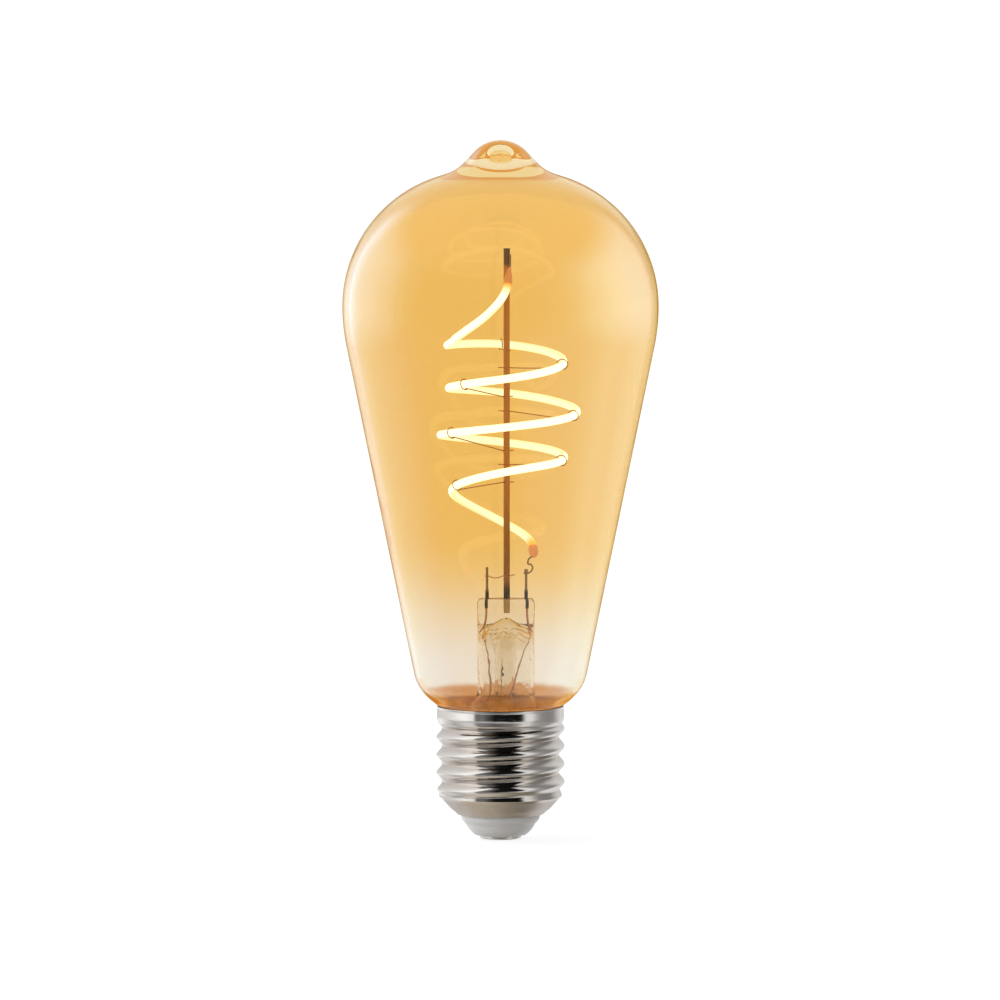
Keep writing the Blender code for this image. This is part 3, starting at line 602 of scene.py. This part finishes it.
def cap_shell():
    """The threaded shell: one rolled sheet with a curled rim. Its outline goes down the outside and
    back up the inside, and the thread's wave is added to both."""
    rim = arc((COLLAR_RADIUS - 0.16, COLLAR_TOP - 0.17), 0.17, 120, -10, 8)
    collar = [rim[-1], (12.86, COLLAR_TOP - 0.62), (COLLAR_RADIUS, 25.6), (COLLAR_RADIUS, 24.7)]
    collar = smooth(collar + [(12.72, 23.8), (THREAD_MEAN, COLLAR_FOOT)], 6)
    rows = 112
    heights = np.linspace(COLLAR_FOOT, THREAD_BOTTOM, rows)
    threads = np.column_stack([np.full(rows, THREAD_MEAN), heights])
    foot = [(THREAD_MEAN, THREAD_BOTTOM), (12.05, 8.2), (11.1, 7.2), (10.2, 6.2), (9.4, 5.55)]
    foot = smooth(foot + [(8.75, SHELL_FOOT)], 6)
    down = np.vstack([rim[:-1], collar[:-1], threads[:-1], foot])
    across = unit(np.gradient(down, axis=0))
    up = (down + SHELL_WALL * np.column_stack([across[:, 1], -across[:, 0]]))[::-1]
    columns = 192
    points = turned_points(np.vstack([down, up]), columns)
    angle = np.linspace(0, 2 * np.pi, columns, endpoint=False)
    reach = 1 + thread_wave(points[..., 2], angle) / np.linalg.norm(points[..., :2], axis=-1)
    points[..., :2] *= reach[..., None]
    finish(surface("cap_shell", points, loop=True), "nickel_plate", "screw_shell")


def cap_foot():
    """The insulating button, the contact under it and the cement under the collar."""
    low, high = span("base_insulator")
    contact_top = span("centre_contact")[1][2]
    bead = bezier((8.15, SHELL_FOOT + 0.2), (8.15, 4.0), (7.5, 3.4), (7.15, 3.1), 10)
    bowl = bezier((7.1, 3.05), (6.6, 2.0), (5.9, 1.2), (5.15, low[2]), 16)[1:]
    inner = [(1.25, low[2]), (1.25, 3.2), (6.8, 3.9), (8.2, high[2]), (9.9, high[2]), (9.3, 6.6)]
    outline = np.vstack([bead, bowl, inner, [(8.2, 5.3)]])
    finish(turned("insulator", outline, 128, loop=True, sharp=50), "white_insulator", "base_insulator")
    face = bezier((4.1, 0.65), (4.3, 0.6), (4.3, 0.1), (4.0, 0.0), 10)
    eyelet = [(0.0, 2.2), (0.5, 2.2), (0.5, contact_top), (1.1, contact_top), (1.1, 0.65)]
    dimple = [(1.6, 0.0), (1.3, 0.12), (0.0, 0.16)]
    outline = np.vstack([eyelet, face, dimple])
    finish(turned("contact", outline, 96, sharp=50), "contact_metal", "centre_contact")
    low, high = span("capping_cement")
    outline = [(high[0], 26.3), (high[0], low[2]), (12.16, low[2]), (12.16, 25.9), (12.3, 26.2)]
    finish(turned("cement_ring", outline, 96, loop=True), "cement", "capping_cement")


# ---------------------------------------------------------------- stem

STEM_X = 1.1
STEM_RADIUS = 5.85
PRESS_TOP = span("stem_glass")[1][2]


def rings(sections, steps, columns=96):
    """Rings of a superellipse |x/a|^n + |y/b|^n = 1 about a moving centre. A section is its height,
    centre x, a, b and n, and the sections between are read off a smooth curve."""
    z, centre, a, b, n = smooth(sections, steps).T[:, :, None]
    t = np.linspace(0, 2 * np.pi, columns, endpoint=False)[None, :]
    reach = (np.abs(np.cos(t)) ** n + np.abs(np.sin(t)) ** n) ** (-1 / n)
    x = centre + a * reach * np.cos(t)
    y = b * reach * np.sin(t)
    return np.stack([x, y, np.broadcast_to(z, x.shape)], axis=-1)


def stem():
    """The stem: a flare, a tube and a flat press, lofted up the outside and down the hollow. The
    fused glass at the hollow's crown is lumpy, by a sum of three sine waves."""
    bore = STEM_RADIUS - 0.85
    outside = (
        (span("stem_glass")[0][2], 0.0, 10.9, 10.9, 2),
        (24.2, 0.1, 9.8, 9.8, 2),
        (25.8, 0.5, 7.9, 7.9, 2),
        (27.8, 0.9, 6.4, 6.4, 2),
        (30.0, STEM_X, STEM_RADIUS, STEM_RADIUS, 2),
        (34.0, STEM_X, STEM_RADIUS, STEM_RADIUS, 2),
        (38.8, STEM_X, STEM_RADIUS, STEM_RADIUS, 2),
        (41.0, STEM_X, STEM_RADIUS, 5.0, 2.2),
        (43.4, STEM_X, STEM_RADIUS, 3.1, 2.8),
        (45.6, STEM_X, STEM_RADIUS, 2.5, 3.5),
        (47.8, STEM_X, 5.85, 2.4, 3.5),
        (48.6, STEM_X, 5.6, 2.2, 3.2),
        (PRESS_TOP, STEM_X, 4.9, 1.6, 2.8),
        (PRESS_TOP + 0.02, STEM_X, 0.01, 0.01, 2),
    )
    inside = (
        (45.0, STEM_X, 0.01, 0.01, 2),
        (44.8, STEM_X, 0.9, 0.4, 2),
        (44.2, STEM_X, 1.8, 0.8, 2),
        (43.2, STEM_X, 3.2, 1.3, 2.2),
        (42.4, STEM_X, 4.2, 1.9, 2.4),
        (40.8, STEM_X, 4.9, 3.7, 2.2),
        (38.6, STEM_X, bore, bore, 2),
        (34.0, STEM_X, bore, bore, 2),
        (30.0, STEM_X, bore, bore, 2),
        (27.6, 0.9, 5.5, 5.5, 2),
        (25.4, 0.5, 7.0, 7.0, 2),
        (span("stem_glass")[0][2], 0.0, 9.9, 9.9, 2),
    )
    hollow = rings(inside, 8)
    x, y, z = np.moveaxis(hollow, -1, 0)
    lump = np.exp(-(((z - 41.6) / 1.6) ** 2)) * (
        0.22 * np.sin(2.3 * x + 0.7) + 0.16 * np.sin(4.1 * x - 1.9 * y) + 0.12 * np.sin(5.3 * y + 2.2 * z)
    )
    hollow[..., 2] += lump
    points = np.concatenate([rings(outside, 8), hollow])
    finish(surface("stem", points, loop=True), "stem_glass", "stem_glass")


def exhaust():
    """The exhaust tube: open and flared where it meets the press, drawn to a drop below."""
    low, high = span("exhaust_tube")
    centre = (middle("exhaust_tube")[0], 0.0)
    r, bore, tip, top = (high[0] - low[0]) / 2, 1.5, low[2], high[2]
    outside = bezier((r, tip + 4.0), (r, tip + 1.5), (0.9, tip), (0.0, tip), 18)
    inside = bezier((0.0, tip + 1.6), (0.6, tip + 1.7), (bore, tip + 2.6), (bore, tip + 4.5), 14)
    mouth = [(bore, top - 1.5), (bore + 0.3, top), (r + 0.25, top), (r, top - 1.5)]
    outline = np.vstack([mouth[2:], outside, inside, mouth[:2]])
    outline = np.vstack([outline, outline[:1]])
    finish(turned("exhaust", outline, 64, centre, sharp=50), "stem_glass", "exhaust_tube")


# ---------------------------------------------------------------- wires

MAST_X = middle("support_mast")[0]
MAST_RADIUS = 0.65
POST_RADIUS = 0.26
SEAL_RADIUS = 0.19
LEAD_RADIUS = 0.15
JUMPER_RADIUS = 0.1
TIE_RADIUS = 0.11
HOOK_RADIUS = 0.17


def mast():
    """The rod up the middle: a turned bar with a slightly spread, flat-cut head."""
    low, high = span("support_mast")
    r, foot, top = MAST_RADIUS, low[2], high[2]
    head = [(0.0, top), (r - 0.02, top), (r + 0.04, top - 0.06), (r + 0.03, top - 0.3), (r, top - 0.7)]
    shaft = np.column_stack([np.full(60, r), np.linspace(top - 1.0, foot + 0.1, 60)])
    outline = np.vstack([head, shaft, [(r - 0.1, foot), (0.0, foot)]])
    finish(turned("mast", outline, 48, (MAST_X, 0.0)), "mast_metal", "support_mast")


def leads():
    """Left and right: the post with its thick welded foot, the seal wire in the press, and the
    copper lead down through the stem."""
    for side, knob in (("left", 0.0), ("right", 0.1)):
        low, high = span(f"lead_post_{side}")
        x, top, foot = (low[0] + high[0]) / 2, high[2], low[2]
        r, thick = POST_RADIUS, 0.36
        outline = [(0.0, top), (r + knob, top), (r + knob, top - 0.5), (r, top - 0.9), (r, 51.0)]
        outline += [(thick - 0.03, 50.6), (thick, 50.3), (thick, 48.6), (r + 0.03, 48.2), (r, foot)]
        piece = turned(f"post_{side}", outline + [(0.0, foot)], 32, (x, 0.0))
        finish(piece, "nickel_wire", f"lead_post_{side}")
        low, high = span(f"seal_wire_{side}")
        lean = -0.5 if side == "left" else 0.25
        keys = [(x, 0, high[2] + 0.1), (x, 0, 45.5), (x + lean * 0.3, 0, 43.8), (x + lean, 0, 41.6)]
        finish(sweep(f"seal_{side}", smooth(keys, 8), SEAL_RADIUS), "copper_wire", f"seal_wire_{side}")
    left_x, right_x = middle("lead_post_left")[0], middle("lead_post_right")[0]
    left = [(left_x - 0.5, 0, 41.6), (left_x - 0.1, -0.6, 39.8), (-2.35, -1.4, 36.0), (-1.95, -2.0, 31.0)]
    left += [(-2.5, -2.2, 28.5), (-3.4, -2.4, 26.5), (-4.4, -2.6, 22.5), (-6.8, -1.0, 19.8)]
    left += [(-6.8, 1.1, 18.6)]
    finish(sweep("lead_left", smooth(left, 8), LEAD_RADIUS, 12), "copper_wire", "outer_lead_left")
    right = [(right_x + 0.25, 0, 41.6), (5.2, -0.7, 39.6), (3.75, -1.9, 35.5), (2.3, -2.6, 30.5)]
    right += [(1.8, -2.8, 28.5), (2.9, -2.9, 26.5), (4.4, -2.8, 22.5), (6.6, -1.0, 19.8), (6.6, 1.1, 18.6)]
    finish(sweep("lead_right", smooth(right, 8), LEAD_RADIUS, 12), "copper_wire", "outer_lead_right")


def half_turn(centre_x, reach, height, start, end):
    """Points round an upright rod: (cx + R cos a, R sin a, h) from one angle to another."""
    a = np.radians(np.linspace(start, end, 14))
    return np.column_stack([centre_x + reach * np.cos(a), reach * np.sin(a), np.full(14, height)])


def jumper():
    """The thin wire from the left post to the mast, with a stub past the mast."""
    at_post = half_turn(middle("lead_post_left")[0], POST_RADIUS + JUMPER_RADIUS, 53.5, 180, 0)
    sag = [(-1.9, 0.0, 53.25), (-1.2, 0.0, 53.12), (-0.5, 0.0, 53.15), (0.1, 0.0, 53.35)]
    at_mast = half_turn(MAST_X, MAST_RADIUS + JUMPER_RADIUS, 53.55, 185, 350)
    path = np.vstack([at_post, sag, at_mast, [(MAST_X + 1.1, 0.0, 53.7), (MAST_X + 1.6, 0.0, 53.75)]])
    finish(sweep("jumper", smooth(path, 3), JUMPER_RADIUS, 10, (0, 0, 1)), "copper_wire", "jumper_wire")


# ---------------------------------------------------------------- filament

FILAMENT_RADIUS = 0.8
# Angle round the mast in degrees, distance from it and height, as the CAD filament runs
FILAMENT_KEYS = (
    (278, 1.65, 113.0),
    (241, 4.6, 108.6),
    (233, 7.5, 106.5),
    (221, 9.8, 104.4),
    (204, 10.9, 102.4),
    (180, 12.0, 100.4),
    (90, 11.9, 99.6),
    (0, 11.5, 97.1),
    (-90, 12.0, 94.6),
    (-180, 11.7, 91.8),
    (-270, 13.0, 89.7),
    (-360, 14.2, 87.0),
    (-450, 13.6, 84.9),
    (-540, 13.4, 82.2),
    (-630, 12.4, 79.6),
    (-720, 11.6, 77.6),
    (-810, 11.4, 75.7),
    (-900, 11.0, 70.6),
    (-990, 8.5, 63.3),
    (-1048, 6.3, 59.3),
)
TIES = ((98, 99.3), (-12, 95.9), (-135, 90.0), (-378, 87.1), (-503, 79.0), (-736, 76.2), (-870, 72.6))


def on_coil(keys):
    """Angle, distance and height about the mast turned into x, y and z."""
    turn, distance, height = np.asarray(keys, float).T
    a = np.radians(turn)
    return np.column_stack([MAST_X + distance * np.cos(a), distance * np.sin(a), height])


COIL = smooth(FILAMENT_KEYS, 40)
COIL_LINE = on_coil(COIL)


def away_from_mast(points):
    """The level direction from the mast out to each point."""
    return unit((points - (MAST_X, 0.0, 0.0)) * (1.0, 1.0, 0.0))


def filament():
    path = even(COIL_LINE, 0.55)
    piece = sweep("filament", path, FILAMENT_RADIUS, 28, away_from_mast(path), dome=0.5)
    piece.visible_glossy = False
    finish(piece, "phosphor", "led_filament")


def filament_ends():
    """The orange sleeves, the tab that joins the upper end to the mast and the lower end's hook."""
    start = COIL_LINE[0]
    keys = [start + (-0.02, 0.02, -0.2), start + (0.1, 0.03, 0.9), (1.68, -1.5, 114.9)]
    path = smooth(keys + [(1.86, -1.3, 116.0)], 10)
    radius = np.interp(np.linspace(0, 1, len(path)), [0, 0.2, 0.6, 1], [0.84, 0.86, 0.7, 0.34])
    finish(sweep("upper_sleeve", path, radius, 28), "orange_silicone", "upper_end_sleeve")
    tab = smooth([(1.85, -1.4, 115.6), (1.92, -1.05, 116.6), (1.95, -0.9, 117.8), (1.93, -0.85, 118.9)], 8)
    finish(sweep("upper_tab", tab, 0.2, 16, dome=0.2), "nickel_wire", "upper_end_tab")
    x, y = middle("lower_end_sleeve")[:2]
    end = COIL_LINE[-1]
    keys = [end + (-0.02, 0.02, 0.1), end + (0.02, 0.0, -0.5), (x, y, 57.9), (x - 0.05, y, 57.1)]
    path = smooth(keys, 10)
    swell = [0.82, 0.98, 1.03, 0.88, 0.45]
    radius = np.interp(np.linspace(0, 1, len(path)), [0, 0.25, 0.55, 0.8, 1], swell)
    finish(sweep("lower_sleeve", path, radius, 28, dome=0.4), "orange_silicone", "lower_end_sleeve")
    wrap = half_turn(middle("lead_post_right")[0], POST_RADIUS + HOOK_RADIUS, 54.1, 180, 340)
    bends = [(5.9, 0.1, 54.25), (6.35, 0.3, 54.6), (6.5, 0.6, 55.2), (6.15, 1.0, 55.8), (5.7, 1.4, 55.75)]
    bends += [(5.55, 1.8, 56.1), (5.8, 2.3, 56.8), (6.5, 2.8, 57.3)]
    path = smooth(np.vstack([wrap, bends]), 5)
    finish(sweep("hook", path, HOOK_RADIUS, 12, (0.3, 0.2, 1)), "nickel_wire", "filament_hook")


def ties():
    """Each tie is a stub behind the mast, half a turn round it, a straight run out to the filament
    and nearly a full turn round it: m + R (cos a * inward + sin a * upward), drifting along."""
    for number, (turn, height) in enumerate(TIES, start=1):
        k = int(np.argmin(np.abs(COIL[:, 0] - turn)))
        centre = COIL_LINE[k]
        along = unit(COIL_LINE[k + 1] - COIL_LINE[k - 1])
        outward = away_from_mast(centre[None])[0]
        inward = -unit(outward - along * np.dot(outward, along))
        upward = np.cross(inward, along)
        upward *= np.sign(upward[2])
        bearing = math.degrees(math.atan2(outward[1], outward[0]))
        reach = MAST_RADIUS + TIE_RADIUS
        round_mast = half_turn(MAST_X, reach, height, bearing - 180, bearing - 15)
        stub = np.array([(MAST_X, 0.0, height)]) - outward * (1.7, 1.7, 0)
        a = np.radians(np.linspace(-60, -395, 30))[:, None]
        drift = np.linspace(0, 0.5, 30)[:, None]
        grip = FILAMENT_RADIUS + TIE_RADIUS * 2.6
        loop = centre + grip * (np.cos(a) * inward + np.sin(a) * upward) + drift * along
        path = np.vstack([stub, round_mast, loop])
        path = even(smooth(path, 4), 0.22)
        piece = sweep(f"tie_{number}", path, TIE_RADIUS, 8, along)
        finish(piece, "copper_wire", f"filament_tie_{number}")


# ---------------------------------------------------------------- driver, hidden in the cap


def dress_driver():
    """The driver's CAD nodes keep their shapes and get their finishes."""
    for part in frame["record"]["subparts"]:
        node = frame["nodes"][part["node"]]
        if not node.hide_render:
            node.material_slots[0].material = FINISHES[part["material_slot"]]


# ---------------------------------------------------------------- studio


def compass(tree, direction):
    """A direction's turn in degrees round the lamp, 0 the front and 90 the right, its rise and how
    far it goes to the right."""
    level = add(tree, "VectorMath", {0: direction}, operation="NORMALIZE").outputs[0]
    parts = add(tree, "SeparateXYZ", {0: level}).outputs
    back = add(tree, "Math", {0: parts["Y"], 1: -1.0}, operation="MULTIPLY").outputs[0]
    radians = add(tree, "Math", {0: parts["X"], 1: back}, operation="ARCTAN2").outputs[0]
    return add(tree, "Math", {0: radians}, operation="DEGREES").outputs[0], parts["Z"], parts["X"]


BRIGHTEST = 6.5


def panorama(tree, turn, stops):
    """Light all the way round: a colour for each of these turns, and the colours between."""
    place = add(tree, "MapRange", {"Value": turn, "From Min": -180.0, "From Max": 180.0}).outputs["Result"]
    ramp = add(tree, "ValToRGB", {"Fac": place})
    elements = ramp.color_ramp.elements
    elements.remove(elements[1])
    for number, (degrees, light) in enumerate(stops):
        colour = light if isinstance(light, tuple) else (light, light, light)
        share = (degrees + 180) / 360
        element = elements[0] if number == 0 else elements.new(share)
        element.position = share
        element.color = rgba(tuple(c / BRIGHTEST for c in colour))
    return scaled(tree, ramp.outputs["Color"], BRIGHTEST)


# What the bulb's own shine shows of the studio: a tall soft panel on either side, nothing in front
HIGH_PANELS = (
    (-180, (0.5, 0.3, 0.1)), (-166, (0.5, 0.5, 0.35)), (-158, (1.0, 1.1, 1.1)), (-149, (1.4, 1.9, 2.4)),
    (-143, (1.8, 3.1, 4.2)), (-137, (1.8, 2.9, 3.8)), (-128, (1.5, 2.8, 3.4)), (-110, (1.6, 3.1, 3.8)),
    (-92, (1.2, 2.6, 3.1)), (-82, (0.6, 1.5, 1.6)), (-72, (0.2, 0.7, 0.7)), (-60, 0.1), (-45, 0.0),
    (10, 0.0), (23, 0.1), (35, (0.2, 0.4, 0.4)), (47, (0.5, 0.9, 0.8)), (58, (1.0, 1.9, 1.8)),
    (74, (2.1, 4.0, 3.9)), (92, (2.8, 5.0, 5.2)), (110, (2.2, 4.0, 4.7)), (124, (1.6, 2.9, 3.3)),
    (140, (1.4, 1.7, 1.8)), (150, (0.5, 0.5, 0.4)), (158, (0.35, 0.3, 0.1)), (170, (0.3, 0.2, 0.05)),
    (180, (0.5, 0.3, 0.1)),
)
LOW_PANELS = (
    (-180, (0.5, 0.2, 0.0)), (-160, (0.6, 0.2, 0.0)), (-144, (1.0, 0.7, 0.3)), (-127, (1.0, 1.3, 1.1)),
    (-110, (0.7, 1.2, 1.4)), (-93, (0.5, 1.0, 1.4)), (-77, (0.2, 0.4, 0.7)), (-63, (0.05, 0.1, 0.2)),
    (-45, 0.05), (10, 0.05), (25, (0.3, 0.5, 0.6)), (37, (0.4, 0.7, 0.9)), (50, (0.5, 0.9, 1.1)),
    (63, (0.6, 1.1, 1.3)), (77, (1.1, 2.0, 2.1)), (93, (1.5, 2.5, 2.6)), (110, (1.1, 1.8, 1.9)),
    (127, (1.2, 1.6, 1.3)), (144, (1.0, 1.0, 0.5)), (160, (0.8, 0.5, 0.1)), (180, (0.5, 0.2, 0.0)),
)
# What the cap shows of it: level and above, in a ring just under the horizon, and below that
CAP_LEVEL = (
    (-180, 0.62), (-141, 0.80), (-116, 0.86), (-98, 0.95), (-83, 1.12), (-69, 1.20), (-56, 1.05),
    (-51, 0.98), (-46, 0.18), (-33, 0.18), (-22, 0.07), (-11, 0.01), (34, 0.005), (40, 0.05),
    (46, 0.70), (50, 0.92), (60, 0.85), (70, 0.50), (80, 0.31), (98, 0.27), (112, 0.32),
    (126, 0.62), (141, 0.80), (180, 0.62),
)
CAP_RING = (
    (-180, 0.90), (-141, 1.10), (-116, 0.78), (-98, 0.60), (-69, 0.63), (-44, 0.55), (0, 0.50),
    (20, 0.53), (36, 0.68), (46, 0.75), (56, 0.68), (69, 0.34), (98, 0.28), (116, 0.34), (141, 0.78),
    (180, 0.90),
)
CAP_LOW = (
    (-180, 0.70), (-141, 0.80), (-116, 0.72), (-98, 0.50), (-83, 0.62), (-69, 0.80), (-54, 0.75),
    (-46, 0.25), (-33, 0.22), (-11, 0.12), (0, 0.14), (20, 0.20), (33, 0.36), (44, 0.75), (56, 0.80),
    (66, 0.50), (83, 0.38), (98, 0.36), (110, 0.40), (126, 0.80), (141, 0.90), (180, 0.70),
)
# The light that dull surfaces gather, strongest from the left
SOFT_LIGHT = (
    (-180, 1.3), (-120, 2.2), (-70, 2.7), (-40, 1.4), (-10, 0.45), (40, 0.3), (80, 0.6), (130, 0.8),
    (180, 1.3),
)


def bulb_room(tree, direction):
    """The studio as the bulb's shine shows it: the panels, pale above and dim below."""
    turn, rise, _ = compass(tree, direction)
    low, high = panorama(tree, turn, LOW_PANELS), panorama(tree, turn, HIGH_PANELS)
    light = mixed(tree, smooth_range(tree, rise, -0.34, -0.05), low, high)
    round_about = add(tree, "Math", {0: turn}, operation="ABSOLUTE").outputs[0]
    behind = smooth_range(tree, round_about, 145.0, 162.0)
    above = smooth_range(tree, rise, 0.05, 0.25)
    high_behind = add(tree, "Math", {0: behind, 1: above}, operation="MULTIPLY").outputs[0]
    light = mixed(tree, high_behind, light, (0.95, 1.0, 0.85))
    light = mixed(tree, smooth_range(tree, rise, 0.35, 0.75), light, (0.75, 0.72, 0.5))
    under = mixed(tree, smooth_range(tree, rise, -0.5, -0.75), (1.0, 1.0, 1.0), (0.4, 0.4, 0.4))
    return add(tree, "VectorMath", {0: light, 1: under}, operation="MULTIPLY").outputs[0]


def cap_room(tree, direction):
    """The studio as the cap's metal shows it, from a warm floor up to the level panels."""
    turn, rise, sideways = compass(tree, direction)
    rightward = smooth_range(tree, sideways, -0.4, 0.4)
    floor_light = mixed(tree, rightward, (0.66, 0.60, 0.50), (0.24, 0.215, 0.17))
    low = mixed(tree, smooth_range(tree, rise, -0.85, -0.7), floor_light, panorama(tree, turn, CAP_LOW))
    low = mixed(tree, smooth_range(tree, rise, -0.36, -0.26), low, panorama(tree, turn, CAP_RING))
    return mixed(tree, smooth_range(tree, rise, -0.17, -0.11), low, panorama(tree, turn, CAP_LEVEL))


def inner_room(tree, direction):
    """What is seen by light that has been mirrored inside the glass: dim in front, white behind."""
    turn, rise, _ = compass(tree, direction)
    round_about = add(tree, "Math", {0: turn}, operation="ABSOLUTE").outputs[0]
    behind = smooth_range(tree, round_about, 70.0, 120.0)
    over = smooth_range(tree, rise, 0.6, 0.85)
    open_sky = add(tree, "Math", {0: behind, 1: over}, operation="MAXIMUM").outputs[0]
    return mixed(tree, open_sky, (0.75, 0.72, 0.68), (1.0, 0.98, 0.95))


def path_test(tree, label):
    """1 where this count or flag of the ray's path is at least 1."""
    path = add(tree, "LightPath").outputs
    return add(tree, "Math", {0: path[label], 1: 0.5}, operation="GREATER_THAN").outputs[0]


def studio_world():
    """White all round for the eye and for what is seen through glass. A mirrored ray meets a dark
    studio with soft panels instead: one for the bulb's shine and one for the cap's."""
    world = bpy.data.worlds.new("studio")
    bpy.context.scene.world = world
    world.use_nodes = True
    world.cycles.sampling_method = "NONE"
    tree = world.node_tree
    direction = add(tree, "TexCoord").outputs["Generated"]
    clear_glass_ray = path_test(tree, "Is Singular Ray")
    room = mixed(tree, clear_glass_ray, cap_room(tree, direction), bulb_room(tree, direction))
    room = mixed(tree, path_test(tree, "Transmission Depth"), room, inner_room(tree, direction))
    soft = panorama(tree, compass(tree, direction)[0], SOFT_LIGHT)
    light = mixed(tree, path_test(tree, "Is Diffuse Ray"), (1.0, 1.0, 1.0), soft)
    light = mixed(tree, path_test(tree, "Glossy Depth"), light, room)
    tree.links.new(light, tree.nodes["Background"].inputs["Color"])


def floor():
    """A plain pale floor that its own soft light keeps white to the eye. Mirrors outside the glass
    look past it to the studio."""
    size = 12.0
    drop = -0.0002
    corners = [(x * size, y * size, drop) for x, y in ((-1, -1), (1, -1), (1, 1), (-1, 1))]
    mesh = bpy.data.meshes.new("floor")
    mesh.from_pydata(corners, [], [(0, 1, 2, 3)])
    ground = bpy.data.objects.new("floor", mesh)
    bpy.context.scene.collection.objects.link(ground)
    ground.visible_glossy = False
    material, tree, shader = principled("floor_paint", Roughness=0.9, Specular_IOR_Level=0.0)
    material.cycles.emission_sampling = "NONE"
    shader.inputs["Base Color"].default_value = rgba((0.16, 0.16, 0.16))
    place = add(tree, "TexCoord").outputs["Object"]
    glow = mixed(tree, path_test(tree, "Is Diffuse Ray"), (0.89, 0.89, 0.89), (0.3, 0.28, 0.26))
    glow = mixed(tree, path_test(tree, "Glossy Depth"), glow, inner_room(tree, place))
    tree.links.new(glow, shader.inputs["Emission Color"])
    shader.inputs["Emission Strength"].default_value = 1.0
    mesh.materials.append(material)


def camera():
    """A long lens in front, a little above, at the height that centres the lamp's picture."""
    data = bpy.data.cameras.new("camera")
    distance = 3.0
    frame_width = 0.2028
    data.sensor_width = 36.0
    data.lens = data.sensor_width * distance / frame_width
    data.clip_end = 60.0
    eye = bpy.data.objects.new("camera", data)
    bpy.context.scene.collection.objects.link(eye)
    tilt = math.radians(5.0)
    aim = np.array([-0.0001, 0.0, 0.0689])
    eye.location = aim + distance * np.array([0.0, -math.cos(tilt), math.sin(tilt)])
    eye.rotation_euler = (math.pi / 2 - tilt, 0.0, 0.0)
    bpy.context.scene.camera = eye


def light_paths():
    """Enough bounces for a ray to cross the bulb, the stem and the exhaust tube and come out."""
    cycles = bpy.context.scene.cycles
    cycles.max_bounces = 32
    cycles.transmission_bounces = 28
    cycles.transparent_max_bounces = 28
    cycles.glossy_bounces = 8
    cycles.caustics_reflective = False
    cycles.caustics_refractive = False
    bpy.context.scene.view_settings.view_transform = "Standard"


bulb_glass()
cap_shell()
cap_foot()
stem()
exhaust()
mast()
leads()
jumper()
filament()
filament_ends()
ties()
dress_driver()

studio_world()
floor()
camera()
light_paths()
